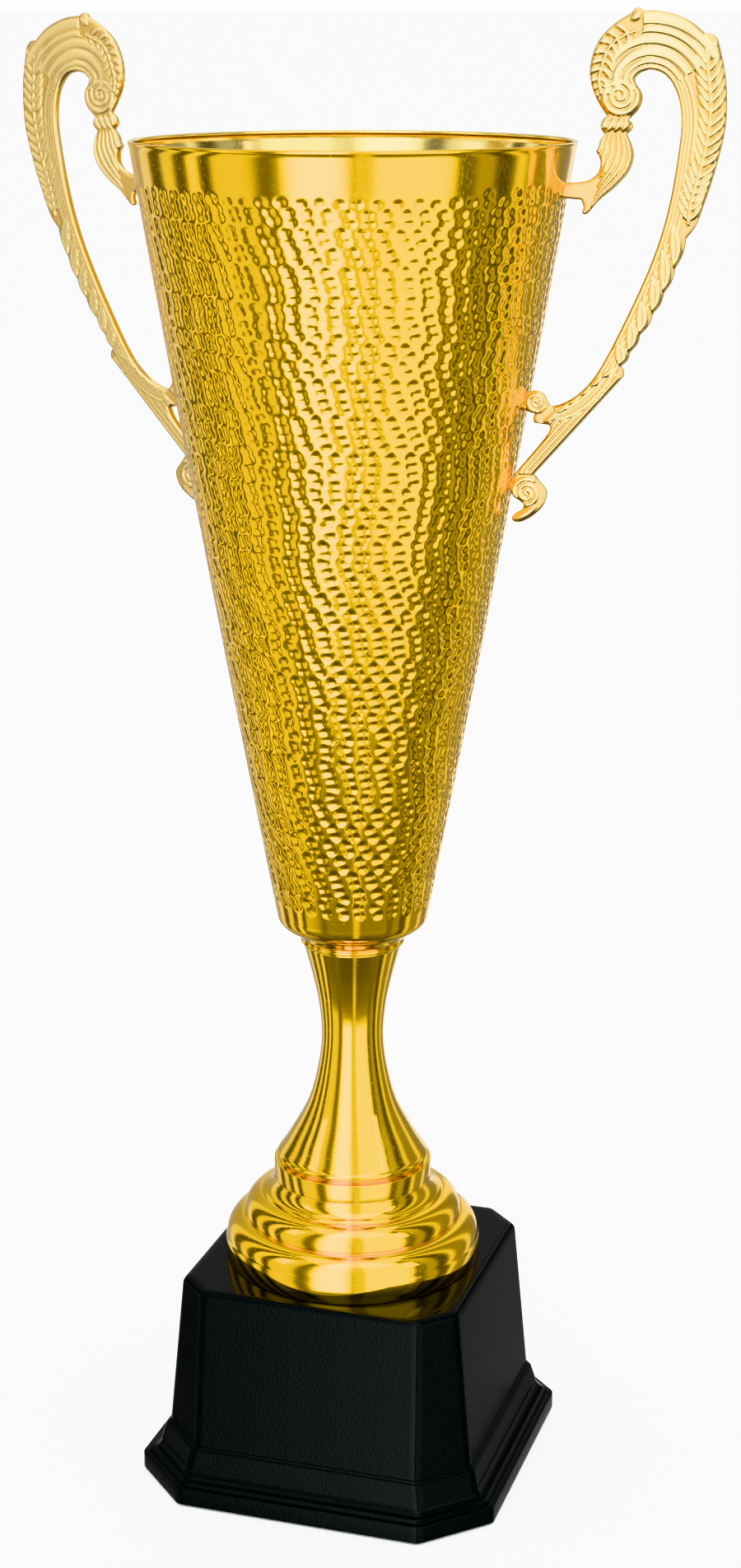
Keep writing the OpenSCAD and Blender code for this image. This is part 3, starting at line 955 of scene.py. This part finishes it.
@dataclass
class ScrollHandle:
    """A flat cast handle with scrolls, leaves and feathers in relief on both faces."""

    name: str
    node: str
    lean: float
    twist: float
    turn: float
    bowl: HammeredBowl
    pivot: Point = (80.0, 473.0)
    twist_z: float = 558.3
    sunk: float = 0.45
    edge_gap: float = 0.5
    grid: float = 0.42
    grid_row: float = 0.87
    grid_margin: float = 1.15
    edge_rings: tuple[float, ...] = (0.14, 0.42, 0.85)
    ground: float = 1.55
    edge_half: float = 0.55
    edge_round: float = 1.5
    relief_fade: float = 1.1
    back_share: float = 0.55
    # Painted shade darkens the low ground between the strokes, fading out towards the outline
    groove_from: float = 0.75
    groove_fade: float = 0.9
    painted_groove_shade: float = 0.85

    # Outline, stroke by stroke, in the handle's own plane: distance from the cup's axis, then height
    LEAF_TOP = ((81, 559.8), (90.5, 560.2), (98, 561), (102, 563.6), (103.3, 566.8), (103, 569.7), (101.5, 572))
    LEAF_BACK = ((101.5, 572), (102.6, 574.2), (103.2, 576.3), (105, 578.7))
    KNOT_LEFT = ((105, 578.7), (103.7, 580.4), (103.5, 582.7), (104.5, 584.4), (106, 585.4))
    HEAD_BACK = (
        (106, 585.4), (102.7, 590.5), (100.3, 596), (99.3, 601.5), (100, 607.2), (102.2, 612.8),
        (105.7, 617.2), (110.5, 621), (115.6, 623.8),
    )
    CREST_BUD = ((115.6, 623.8), (117, 625.6), (118.8, 625.8), (120.6, 624.7))
    CROWN = ((120.6, 624.7), (126.7, 624.4), (133, 622.7), (139, 619.8), (144.3, 615.4))
    PLUME_TIP = ((144.3, 615.4), (146.8, 615.3), (148.9, 613.3), (149.9, 610.2))
    PLUME_EDGE = (
        (149.9, 610.2), (152, 600.2), (152.7, 589.8), (152.2, 580.2), (150.2, 570.7), (147.3, 560.5),
        (144.1, 551.2), (141, 543.3), (137.1, 538.2),
    )
    ROPE = ((137.1, 538.2), (132.8, 526.6), (128.4, 517.2), (124.2, 509.4), (119, 500.9), (114.9, 494.1), (111.3, 488.6))
    BUTT = ((111.3, 488.6), (112.4, 487.1), (112.4, 484.6))
    STRUT_UNDER = ((112.4, 484.6), (75.7, 445))
    SCROLL = (
        (75.7, 445), (78.3, 441.7), (80.5, 438.8), (80.6, 435.7), (78.7, 431.5), (74.2, 427.5), (70, 425.5),
        (67.4, 425.4), (66.1, 426.8), (67.1, 428.6), (70.2, 430.6), (71, 432.4), (69.5, 434), (66.7, 436),
        (65.4, 439), (66.2, 442.6), (68.6, 446.5),
    )
    STRUT_OVER = ((68.6, 446.5), (74.6, 453.3), (80.2, 459.9))
    SIDE_LEAF = ((80.2, 459.9), (82, 462.8), (82.1, 464.8), (78.8, 465.4), (75.9, 466), (75.5, 467.6), (76.1, 469.5))
    VOLUTE = (
        (76.1, 469.5), (73.5, 470.3), (70.4, 472), (70, 476), (74.2, 478.5), (77.7, 478.7), (80.2, 477.2),
        (81.4, 474.5), (82.9, 472.6),
    )
    CROWN_END = (131.9, 596.5)
    LIMB_INSIDE = (
        (82.9, 472.6), (87.2, 473.7), (93.4, 477.2), (99.8, 483.5), (105.8, 493), (111.9, 504.7), (118.3, 517.7),
        (123.9, 530.6), (128.2, 543), (131.5, 556.5), (134, 571.5), (135, 581.8), (134.3, 590), CROWN_END,
        (128.2, 600.7), (123.6, 602.2), (119.5, 601.4), (117, 599.2),
    )
    HOOK = ((117, 599.2), (117.6, 597.3), (119.3, 594.8), (120, 591.8), (118.6, 587.8), (114.6, 583.8))
    KNOT_RIGHT = ((114.6, 583.8), (116, 582.4), (116, 580.4), (114, 578.3))
    LEAF_FRONT = ((114, 578.3), (115.8, 574.2), (116.5, 569.7), (114.5, 564), (109.5, 558.5), (103.1, 553.5), (99, 549))
    LEAF_TAIL = ((99, 549), (97.2, 547.9), (96, 548.7), (96.5, 551), (95.6, 553.6))
    LEAF_FOOT = ((95.6, 553.6), (90.5, 554.1), (81, 555.4))
    BEFORE_ROPE = (LEAF_TOP, LEAF_BACK, KNOT_LEFT, HEAD_BACK, CREST_BUD, CROWN, PLUME_TIP, PLUME_EDGE)
    AFTER_ROPE = (
        BUTT, STRUT_UNDER, SCROLL, STRUT_OVER, SIDE_LEAF, VOLUTE, LIMB_INSIDE, HOOK, KNOT_RIGHT,
        LEAF_FRONT, LEAF_TAIL, LEAF_FOOT,
    )
    SWELL = 0.9

    # Lines of the relief
    CREST_VEIN = ((117.2, 617), (110.4, 614), (106.7, 610), (104.3, 603.9), (103.1, 598.5), (104, 594.2))
    PLUME_RIB = (
        (144.8, 609.3), (145.7, 600.1), (146.4, 592.5), (146.5, 584.9), (145.6, 577.2), (144, 569.5),
        (142.1, 562.7), (140.2, 556.5), (138.7, 550.3), (138.1, 544),
    )
    ROPE_INSIDE = ((132.9, 543.1), (129, 532.8), (125.1, 522.6), (120.2, 513.7), (116, 505.6), (111, 497), (107, 489.8))
    PLAIN = (
        Bead(CREST_VEIN, 0.7, 1.0, Taper.EVEN),
        Bead(PLUME_RIB, 0.75, 1.0, Taper.EVEN),
        Bead(((115.8, 621), (118.2, 622.6), (119.6, 624)), 1.6, 1.1),
        Bead(((80.6, 460.6), (80.2, 463), (77, 467)), 1.7, 0.9),
        Bead(((68, 426.6), (72.5, 429), (76.8, 432.6)), 1.5, 0.9),
    )
    SPIRALS = (
        Spiral((111.2, 593.0), 0.6, 7.4, 2.6, 20, 1),
        Spiral((72.6, 437.4), 0.5, 6.0, 2.4, 60, -1),
        Spiral((76.9, 474.4), 0.4, 4.0, 1.8, -30, 1),
    )
    LEAFLETS = (
        Leaflets(CREST_VEIN, 9, 1, 5.2, -3.6, 1.3, 0.9),
        Leaflets(CREST_VEIN, 9, -1, 5.0, -4.2, 1.3, 0.9),
        Leaflets(PLUME_RIB, 17, -1, 5.0, 6.8, 1.35, 0.95),
        Leaflets(PLUME_RIB, 17, 1, 5.6, 6.4, 1.35, 0.95),
    )
    # First stroke, step to the next one, number of strokes, width and height
    ROWS = (
        (((103.4, 579.4), (105.0, 581.8), (106.5, 584.6)), (2.9, 0.0), 4, 1.45, 1.35),
        (((108.5, 489.0), (106.1, 485.8), (102.9, 484.4)), (-4.6, -3.6), 6, 1.25, 1.1),
    )
    LEAF_RIBS = 6
    LEAF_TURN = 0.62
    # Distances of the grooves from the line that the bands follow, then how high the bands stand
    CROWN_BANDS = ((0.0, 2.2, 4.9, 9.5, 13.7, 16.8, 22.4), 0.9)
    LIMB_BANDS = ((0.2, 1.9, 3.2, 4.5, 6.7), 0.7)
    STRUT_BANDS = ((0.4, 2.4, 4.4, 6.4, 8.4, 10.4), 0.8)
    CROWN_LOW = 595
    CREST_WIDTH = 3.4
    STRUT_RANGE = (445, 486)

    def rope_edge(self) -> np.ndarray:
        """Draws the scalloped edge, which swells out between its notches."""
        rope = np.array(self.ROPE, float)
        t = np.linspace(0, 1, 13)[:, None]
        parts = []
        for a, d in zip(rope, np.diff(rope, axis=0)):
            out = unit(np.array([-d[1], d[0]]))
            parts.append(a + d * t + out * self.SWELL * np.sin(math.pi * t))
        return np.vstack(parts)

    def outline(self) -> np.ndarray:
        """Joins the strokes of the outline into one closed line of evenly spaced points."""
        lines = [smooth_curve(s) for s in self.BEFORE_ROPE] + [self.rope_edge()]
        lines += [smooth_curve(s) for s in self.AFTER_ROPE]
        lines.append(np.array([self.LEAF_FOOT[-1], self.LEAF_TOP[0]], float))
        return np.vstack([evenly(line, self.edge_gap)[:-1] for line in lines])

    @staticmethod
    def bands(gap: np.ndarray, edges: Sequence[float], rise: float) -> np.ndarray:
        """Rounds a height over each band between two edges.

        Args:
            gap: Distance from the line that the bands follow.
            edges: Distances of the grooves between the bands.
            rise: Height of a band's middle.

        Returns:
            The height, which is 0 in the grooves between the bands.
        """
        height = np.zeros_like(gap)
        for low, high in zip(edges[:-1], edges[1:]):
            across = (gap - (low + high) / 2) / ((high - low) / 2)
            height = np.maximum(height, np.clip(1 - across**2, 0, 1) ** 0.6)
        return rise * height

    def leaf_ribs(self) -> list[Bead]:
        """Draws the ribs of the leaf under the knot, from its front edge to its back."""
        front, back = smooth_curve(self.LEAF_FRONT), smooth_curve(self.LEAF_BACK[::-1] + self.LEAF_TOP[-2::-1])
        made = []
        for k in range(self.LEAF_RIBS):
            share = (k + 0.5) / self.LEAF_RIBS
            t = np.linspace(0, 0.98 - 0.05 * k, 7)
            a = sampled(front, np.linspace(0, 1, len(front)), t)
            b = sampled(back, np.linspace(0, 1, len(back)), t * self.LEAF_TURN)
            made.append(Bead(a * (1 - share) + b * share, 1.25, 1.2))
        return made

    def rope_leaves(self) -> list[Bead]:
        """Draws two strokes and a leaf between each pair of the rope's notches."""
        outer, inner = np.array(self.ROPE, float), np.array(self.ROPE_INSIDE, float)
        made = []
        for k in range(len(outer) - 1):
            start, end = inner[k] * 1.25 - outer[k] * 0.25, outer[k + 1]
            across = unit(np.array([start[1] - end[1], end[0] - start[0]]))
            for split in (-1.15, 1.15):
                made.append(Bead((start, (start + end) / 2 + across * split + (0.6, 0.4), end), 1.55, 1.15))
            start, end = inner[k + 1] + (-0.6, 0.4), inner[k] + (-4.6, -6.0)
            made.append(Bead((start, (start + end) / 2 + (0.7, -0.4), end), 1.1, 0.9))
        return made

    def strokes(self) -> list[Bead]:
        """Lists the raised strokes of the relief."""
        made = list(self.PLAIN) + [spiral.bead() for spiral in self.SPIRALS]
        for leaflets in self.LEAFLETS:
            made += leaflets.beads()
        for path, step, count, width, height in self.ROWS:
            made += [Bead(np.add(path, np.multiply(step, k)), width, height) for k in range(count)]
        return made + self.leaf_ribs() + self.rope_leaves()

    def relief(self, points: np.ndarray) -> np.ndarray:
        """Works out the relief's height above the ground of the casting.

        Args:
            points: Places in the handle's plane.

        Returns:
            The height at each place.
        """
        inner = smooth_curve(self.LIMB_INSIDE)
        gap, share = nearest_on_line(points, inner)
        crown_share = nearest_on_line(np.array([self.CROWN_END]), inner)[1][0]
        vein = np.array(self.CREST_VEIN[::-1], float)
        past_crest = points[:, 0] > np.interp(points[:, 1], vein[:, 1], vein[:, 0]) + self.CREST_WIDTH
        crown = (share > crown_share) & past_crest & (points[:, 1] > self.CROWN_LOW)
        limb = (share <= crown_share) & (share > 0.01)
        strut, along = nearest_on_line(points, np.array(self.STRUT_UNDER, float))
        low, high = self.STRUT_RANGE
        on_strut = (points[:, 1] > low) & (points[:, 1] < high) & (along > 0.02)
        on_strut &= ~(limb & (gap < self.LIMB_BANDS[0][-1]))
        height = np.zeros(len(points))
        for where, away, bands in (
            (crown, gap, self.CROWN_BANDS),
            (limb, gap, self.LIMB_BANDS),
            (on_strut, strut, self.STRUT_BANDS),
        ):
            height = np.maximum(height, np.where(where, self.bands(away, *bands), 0))
        for bead in self.strokes():
            height = np.maximum(height, bead.rise(points))
        return height

    def placed(self, flat: np.ndarray, side: np.ndarray) -> np.ndarray:
        """Puts points of the handle's plane in their place on the cup.

        Args:
            flat: Distance from the axis and height.
            side: How far each point stands off the plane.

        Returns:
            The points in space, none of them deeper in the bowl's wall than the sunk ends.
        """
        x, z = spun(flat[:, 0] - self.pivot[0], flat[:, 1] - self.pivot[1], -self.lean)
        x, z = x + self.pivot[0], z + self.pivot[1]
        hinge = float(self.bowl.radius(self.twist_z))
        x, y = spun(x - hinge, side, self.twist)
        x, y = spun(x + hinge, y, self.turn)
        radius = np.hypot(x, y)
        push = np.maximum(radius, self.bowl.radius(z) - self.sunk) / radius
        return np.stack([x * push, y * push, z], -1)

    def filled(self, edge: np.ndarray, closed: np.ndarray) -> tuple[np.ndarray, np.ndarray]:
        """Fills the outline with points and triangles.

        Args:
            edge: The outline's points.
            closed: The same with the first one repeated at the end.

        Returns:
            The points, and the triangles counterclockwise.
        """
        within = unit(np.roll(edge, -1, axis=0) - np.roll(edge, 1, axis=0))[:, ::-1] * (1, -1)
        parts = [edge]
        for depth in self.edge_rings:
            ring = edge + within * depth
            gap, _ = nearest_on_line(ring, closed)
            parts.append(ring[(gap > depth * 0.93) & inside(ring, edge)])
        low, high = edge.min(0), edge.max(0)
        row = self.grid * self.grid_row
        mesh_x, mesh_z = np.meshgrid(np.arange(low[0], high[0], self.grid), np.arange(low[1], high[1], row))
        mesh_x[::2] += self.grid / 2
        field = np.stack([mesh_x.ravel(), mesh_z.ravel()], -1)
        field = field[inside(field, edge)]
        parts.append(field[nearest_on_line(field, closed)[0] > self.grid_margin])
        corners = list(range(len(edge)))[::-1]
        places = [Vector(p) for p in np.vstack(parts).tolist()]
        made = delaunay_2d_cdt(places, [], [corners], 1, 1e-5, True)
        flat, triangles = np.array([tuple(p) for p in made[0]]), np.array(made[2], np.int32)
        triangles = triangles[inside(flat[triangles].mean(1), edge)]
        a, b, c = (flat[triangles[:, k]] for k in range(3))
        left_turn = np.cross(b - a, c - a) > 0
        return flat, np.where(left_turn[:, None], triangles, triangles[:, ::-1])

    def build(self, material: bpy.types.Material) -> None:
        """Builds and dresses the handle.

        Args:
            material: Its finish.
        """
        edge = self.outline()
        closed = np.vstack([edge, edge[:1]])
        flat, triangles = self.filled(edge, closed)
        gap, _ = nearest_on_line(flat, closed)
        run = np.clip(gap / self.edge_round, 0, 1)
        body = self.edge_half + (self.ground - self.edge_half) * np.sqrt(np.clip(1 - (1 - run) ** 2, 0, 1))
        rise = self.relief(flat) * np.clip(gap / self.relief_fade, 0, 1) ** 0.8
        back = rise * self.back_share
        points = np.vstack([self.placed(flat, -(body + rise)), self.placed(flat, body + back)])
        ways = np.vstack([triangles[:, [0, 1]], triangles[:, [1, 2]], triangles[:, [2, 0]]])
        _, first, times = np.unique(np.sort(ways, axis=1), axis=0, return_index=True, return_counts=True)
        rim, count = ways[first[times == 1]], len(flat)
        skirt = np.stack([rim[:, 1], rim[:, 0], rim[:, 0] + count, rim[:, 1] + count], -1)
        faces = [np.vstack([triangles, triangles[:, ::-1] + count]), skirt]
        # Painted shade: darker where the relief is low, so the back face, with its lower relief, is darker too; none at
        # the outline
        low = np.clip(1 - np.concatenate([rise, back]) / self.groove_from, 0, 1)
        groove_shade = low * np.tile(np.clip(gap / self.groove_fade, 0, 1), 2) * self.painted_groove_shade
        make_piece(self.name, points, faces, Body.CUP, self.node, [material], groove_shade)


# ---- Plinth ----


@dataclass
class Plinth:
    """The eight-sided plinth shell: slab, cove, band and tapering body."""

    half: float
    top_z: float
    low_z: float = 1.0
    slab_leg: float = 26.2
    top_half: float = 62.6
    lip_half: float = 77.9
    lip_z: float = 10.1
    band_half: float = 72.6
    band_z: float = 15.2
    cove_leg: float = 20.3
    cove_flare: float = 4.0
    recess_half: float = 77.6
    recess_leg: float = 24.6
    recess_low: float = 0.5
    recess_top: float = 4.05
    chamfer: float = 0.3
    edge_round: float = 0.9
    corner_round: float = 1.6
    corner_steps: int = 5

    # Half width, corner leg and height of the band; for the body's top, inset, leg and drop from its top
    BAND = ((70.7, 19.9, 22.3), (69.8, 19.4, 22.4), (69.8, 19.4, 23.4), (68.9, 18.9, 23.5), (68.8, 18.8, 24.5))
    TOP = ((0, 13.9, 2.6), (0.7, 13.6, 1.1), (1.6, 13.2, 0.3), (2.6, 12.8, 0))

    def levels(self) -> np.ndarray:
        """Lists half width, corner leg and height of the outside, from the slab up."""
        half, leg = self.half, self.slab_leg
        slab = [[half, leg, self.low_z], [half, leg, 8.0], [half - 0.4, leg - 0.2, 8.4], [self.lip_half, 24.5, 8.5]]
        cove = []
        for a in np.linspace(0, math.pi / 2, 9):
            t, rise = 1 - math.sin(a), 1 - math.cos(a)
            width = self.band_half + (self.lip_half - self.band_half) * t
            cove.append([width, self.cove_leg + self.cove_flare * t, self.lip_z + (self.band_z - self.lip_z) * rise])
        body = [[self.top_half - inset, leg, self.top_z - drop] for inset, leg, drop in self.TOP]
        return np.array(slab + cove + list(self.BAND) + body)

    def softened(self, levels: np.ndarray) -> np.ndarray:
        """Rounds the corners of the profile.

        Args:
            levels: The profile.

        Returns:
            The profile with a short curve in place of each corner.
        """
        made = [levels[0]]
        for a, b, c in zip(levels, levels[1:], levels[2:]):
            reach = 0.42 * min(np.linalg.norm(a - b), np.linalg.norm(c - b))
            run = min(self.edge_round, reach)
            made += rounded(b + unit(a - b) * run, b, b + unit(c - b) * run, (0, 0.33, 0.67, 1))
        return np.array(made + [levels[-1]])

    def ring(self, half: float, leg: float, z: float) -> np.ndarray:
        """Draws one eight-sided ring with rounded corners.

        Args:
            half: Half the width across the flats.
            leg: How far each corner is cut back.
            z: Height of the ring.

        Returns:
            Its points, counterclockwise from the front.
        """
        k, run = half - leg, self.corner_round
        signs = ((-1, -1), (1, -1), (1, -1), (1, 1), (1, 1), (-1, 1), (-1, 1), (-1, -1))
        sizes = ((k, half), (k, half), (half, k), (half, k)) * 2
        corners = np.array(signs) * np.array(sizes)
        made = []
        for a, b, c in zip(np.roll(corners, 1, axis=0), corners, np.roll(corners, -1, axis=0)):
            before, after = unit(a - b) * run, unit(c - b) * run
            curve = rounded(b + before, b, b + after, np.linspace(0, 1, self.corner_steps))
            made += [b + 2 * before] + curve + [b + 2 * after]
        return np.column_stack([made, np.full(len(made), z)])

    def build(self, effects: Effects) -> None:
        """Builds and dresses the plinth.

        Args:
            effects: The shared node groups.
        """
        outside = self.softened(self.levels())
        top_half, top_leg, _ = outside[-1]
        lid = [[top_half * s, top_leg * s, self.top_z] for s in (0.97, 0.9, 0.7, 0.4)]
        half, leg, low, high = self.recess_half, self.recess_leg, self.recess_low, self.recess_top
        under = [
            [half * 0.4, leg * 0.4, high],
            [half, leg, high],
            [half, leg, low + self.chamfer],
            [half + 0.4, leg, low],
            [self.half - 0.4, self.slab_leg - 0.2, low],
            [self.half, self.slab_leg, low + self.chamfer],
        ]
        rings = [self.ring(*level) for level in np.vstack([under, outside, lid])]
        columns = len(rings[0])
        points = np.vstack(rings + [[[0, 0, high], [0, 0, self.top_z]]])
        walls = lattice_faces(len(rings), columns, close_rows=False)
        c = np.arange(columns)
        below, above = len(points) - 2, len(points) - 1
        side, final = (c + 1) % columns, below - columns
        floor_cap = np.stack([np.full(columns, below), side, c], -1)
        top_cap = np.stack([np.full(columns, above), final + c, final + side], -1)
        black = [PLINTH_BLACK.build(effects)]
        make_piece("plinth", points, [walls, floor_cap, top_cap], Body.BASE, "base_shell", black)


@dataclass
class Fixings:
    """The CAD nodes that keep their shape and get a finish."""

    sets: tuple[tuple[Finish, tuple[str, ...]], ...] = (
        (STEEL, ("bowl_washer", "top_nut", "tie_rod", "lower_washer", "spring_washer", "lower_nut")),
        (STEEL, ("handle_screws", "handle_washers")),
        (INNER_PLASTIC, ("foot_support", "stem_plug")),
        (BALLAST, ("base_ballast",)),
        (BOARD, ("base_cover",)),
        (FELT, ("felt_pads",)),
    )

    def build(self, effects: Effects) -> None:
        """Dresses the nodes.

        Args:
            effects: The shared node groups.
        """
        built: dict[str, bpy.types.Material] = {}
        for finish, nodes in self.sets:
            if finish.name not in built:
                built[finish.name] = finish.build(effects)
            for node in nodes:
                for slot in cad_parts[node].material_slots:
                    slot.material = built[finish.name]
                log.info("%s: dressed in %s", node, finish.name)


# ---- Studio ----


@dataclass(frozen=True)
class SoftBox:
    """A soft panel of the room, as the polished faces see it; its sides and edge are in degrees."""

    azimuth: float
    half_width: float
    low: float
    high: float
    level: float
    tint: Colour = (1.0, 1.0, 1.0)
    soft: float = 8.0


@dataclass
class Studio:
    """The pale floor, the soft light and the camera."""

    camera_place: Place = (0.3415, -1.0781, 0.6276)
    camera_down: float = 15.747
    camera_turn: float = 17.58
    lens: float = 63.42
    sensor: float = 36.0
    shift: float = 0.01155
    clip: Point = (0.05, 1000.0)
    floor_radius: float = 300.0
    floor_corners: int = 96
    floor_gap: float = 0.3
    lamp_aim: Place = (0, 0, 0.35)
    room: Colour = (0.52, 0.515, 0.5)
    ground_low: Colour = (0.1, 0.1, 0.1)
    ceiling: Colour = (0.9, 0.9, 0.9)
    dull_light: Colour = (2.2, 2.2, 2.2)
    backdrop: Colour = (6.0, 6.0, 6.0)
    ground_fade: Point = (-0.82, -0.46)
    ceiling_fade: Point = (0.25, 0.95)
    box_fade: float = 0.05
    boxes: tuple[SoftBox, ...] = (
        SoftBox(-42, 23, -32, 80, 2.3, (0.98, 1.02, 1.0)),
        SoftBox(-92, 13, -32, 80, 4.6, (0.98, 1.02, 1.0)),
        SoftBox(-66, 3, -50, 80, 1.0, soft=4.0),
        SoftBox(-120, 4, -90, 70, 0.22, soft=4.0),
        SoftBox(-140, 11, -36, 80, 1.1),
        SoftBox(-156, 3, -90, 70, 0.1, soft=3.0),
        SoftBox(-165, 3, -60, 80, 1.5, soft=3.0),
        SoftBox(-174, 4, -90, 70, 0.1, soft=3.0),
        SoftBox(-185, 4, -60, 80, 1.1, soft=3.0),
        SoftBox(-197, 5, -90, 70, 0.12, soft=3.0),
        SoftBox(-210, 4, -60, 80, 1.1, soft=4.0),
        SoftBox(-10, 4, -90, 70, 0.2, soft=4.0),
        SoftBox(14, 4, -90, 70, 0.1, soft=5.0),
        SoftBox(27, 3, -60, 80, 1.2, soft=3.0),
        SoftBox(40, 6, -90, 70, 0.35),
        SoftBox(54, 3, -60, 80, 1.1, soft=3.0),
        SoftBox(70, 7, -90, 70, 0.34, soft=5.0),
        SoftBox(88, 4, -40, 80, 1.4, soft=4.0),
        SoftBox(110, 10, -90, 70, 0.8),
    )

    def camera(self) -> None:
        """Sets up the camera."""
        data = bpy.data.cameras.new("camera")
        data.lens, data.sensor_width, data.shift_x = self.lens, self.sensor, self.shift
        data.clip_start, data.clip_end = self.clip
        eye = bpy.data.objects.new("camera", data)
        eye.location = self.camera_place
        eye.rotation_euler = (math.radians(90 - self.camera_down), 0, math.radians(self.camera_turn))
        bpy.context.scene.collection.objects.link(eye)
        bpy.context.scene.camera = eye

    def floor(self) -> None:
        """Lays the pale floor, which polished faces don't reflect."""
        a = np.linspace(0, FULL_TURN, self.floor_corners, endpoint=False)
        rim = np.stack([np.cos(a), np.sin(a), 0 * a], -1) * self.floor_radius
        mesh = bpy.data.meshes.new("floor")
        mesh.from_pydata(rim.tolist(), [], [list(range(self.floor_corners))])
        ground = bpy.data.objects.new("floor", mesh)
        bpy.context.scene.collection.objects.link(ground)
        material, kit, shader = Finish("pale_floor").start(Roughness=0.8, Specular_IOR_Level=0.1)
        mottle = kit.noise(kit.place(), 3.0, 3.0)
        kit.put(shader["Base Color"], kit.blend(mottle, (0.86, 0.86, 0.86), (0.9, 0.9, 0.9)))
        mesh.materials.append(material)
        ground.visible_glossy = False
        ground.location.z = -self.floor_gap * MM

    def surroundings(self) -> None:
        """Lights the room: plain and pale to the eye, with soft panels for the polished faces."""
        world = bpy.data.worlds.new("studio")
        bpy.context.scene.world = world
        world.use_nodes = True
        kit = NodeKit(world.node_tree)
        world.node_tree.nodes.clear()
        x, y, z = kit.add("SeparateXYZ", {0: kit.add("TexCoord").outputs["Generated"]}).outputs
        level = kit.math("SQRT", kit.math("ADD", kit.times(x, x), kit.times(y, y)))
        level = kit.math("MAXIMUM", level, 1e-4)
        shade = kit.blend(kit.spread(z, *self.ground_fade), self.ground_low, self.room)
        shade = kit.blend(kit.spread(z, *self.ceiling_fade), shade, self.ceiling)
        for box in self.boxes:
            a, wide, soft, low, high = np.radians([box.azimuth, box.half_width, box.soft, box.low, box.high]).tolist()
            ahead = kit.math("ADD", kit.times(x, math.cos(a)), kit.times(y, math.sin(a)))
            facing = kit.math("DIVIDE", ahead, level)
            across = kit.spread(facing, math.cos(wide + soft), math.cos(max(wide - soft, 0)))
            above = kit.spread(z, math.sin(low) - self.box_fade, math.sin(low) + self.box_fade)
            below = kit.spread(z, math.sin(high) - self.box_fade, math.sin(high) + self.box_fade, (1.0, 0.0))
            share = kit.times(across, kit.times(above, below))
            shade = kit.blend(share, shade, tuple(box.level * c for c in box.tint))
        ray = kit.add("LightPath").outputs
        colour = kit.blend(ray["Is Diffuse Ray"], shade, self.dull_light)
        colour = kit.blend(ray["Is Camera Ray"], colour, self.backdrop)
        lit = kit.add("Background", {"Color": colour, "Strength": 1.0})
        kit.add("OutputWorld", {"Surface": lit.outputs[0]})

    def lamp(self, name: str, place: Place, size: Point, power: float) -> None:
        """Hangs one soft lamp that faces the cup.

        Args:
            name: Its name.
            place: Where it hangs, in metres.
            size: Its width and height in metres.
            power: Its power in watts.
        """
        data = bpy.data.lights.new(name, "AREA")
        data.shape, data.size, data.size_y, data.energy = "RECTANGLE", size[0], size[1], power
        lamp = bpy.data.objects.new(name, data)
        lamp.location = place
        lamp.rotation_euler = (Vector(self.lamp_aim) - Vector(place)).to_track_quat("-Z", "Y").to_euler()
        bpy.context.scene.collection.objects.link(lamp)

    def build(self) -> None:
        """Builds the studio."""
        self.camera()
        self.floor()
        self.surroundings()
        self.lamp("top_lamp", (0.2, -0.5, 2.6), (2.4, 2.4), 22.0)
        self.lamp("left_lamp", (-1.7, -1.3, 1.5), (0.5, 1.2), 3.0)
        self.lamp("right_lamp", (1.9, -0.5, 1.4), (0.4, 1.2), 3.0)
        bpy.context.scene.view_settings.view_transform = "Khronos PBR Neutral"
        log.info("studio ready")


def main() -> None:
    """Builds the cup's visible pieces in order."""
    logging.basicConfig(level=logging.INFO, format="%(name)s: %(message)s")
    Studio().build()
    effects = Effects()
    bowl_low, bowl_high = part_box("cup_bowl")
    bowl = HammeredBowl(rim_z=bowl_high[2] / MM, rim_radius=(bowl_high[0] - bowl_low[0]) / 2 / MM)
    bowl.build(effects)
    foot_low, foot_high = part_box("foot_shell")
    TurnedStack(foot_z=foot_low[2] / MM, foot_radius=(foot_high[0] - foot_low[0]) / 2 / MM).build(effects)
    champagne = HANDLE_GOLD.build(effects)
    ScrollHandle("right_scroll_handle", "handle_right", -1.7, 0.0, 1.9, bowl).build(champagne)
    ScrollHandle("left_scroll_handle", "handle_left", 1.7, -10.0, 175.1, bowl).build(champagne)
    shell_low, shell_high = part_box("base_shell")
    Plinth(half=(shell_high[0] - shell_low[0]) / 2 / MM, top_z=shell_high[2] / MM).build(effects)
    Fixings().build(effects)


if __name__ == "__main__":
    main()
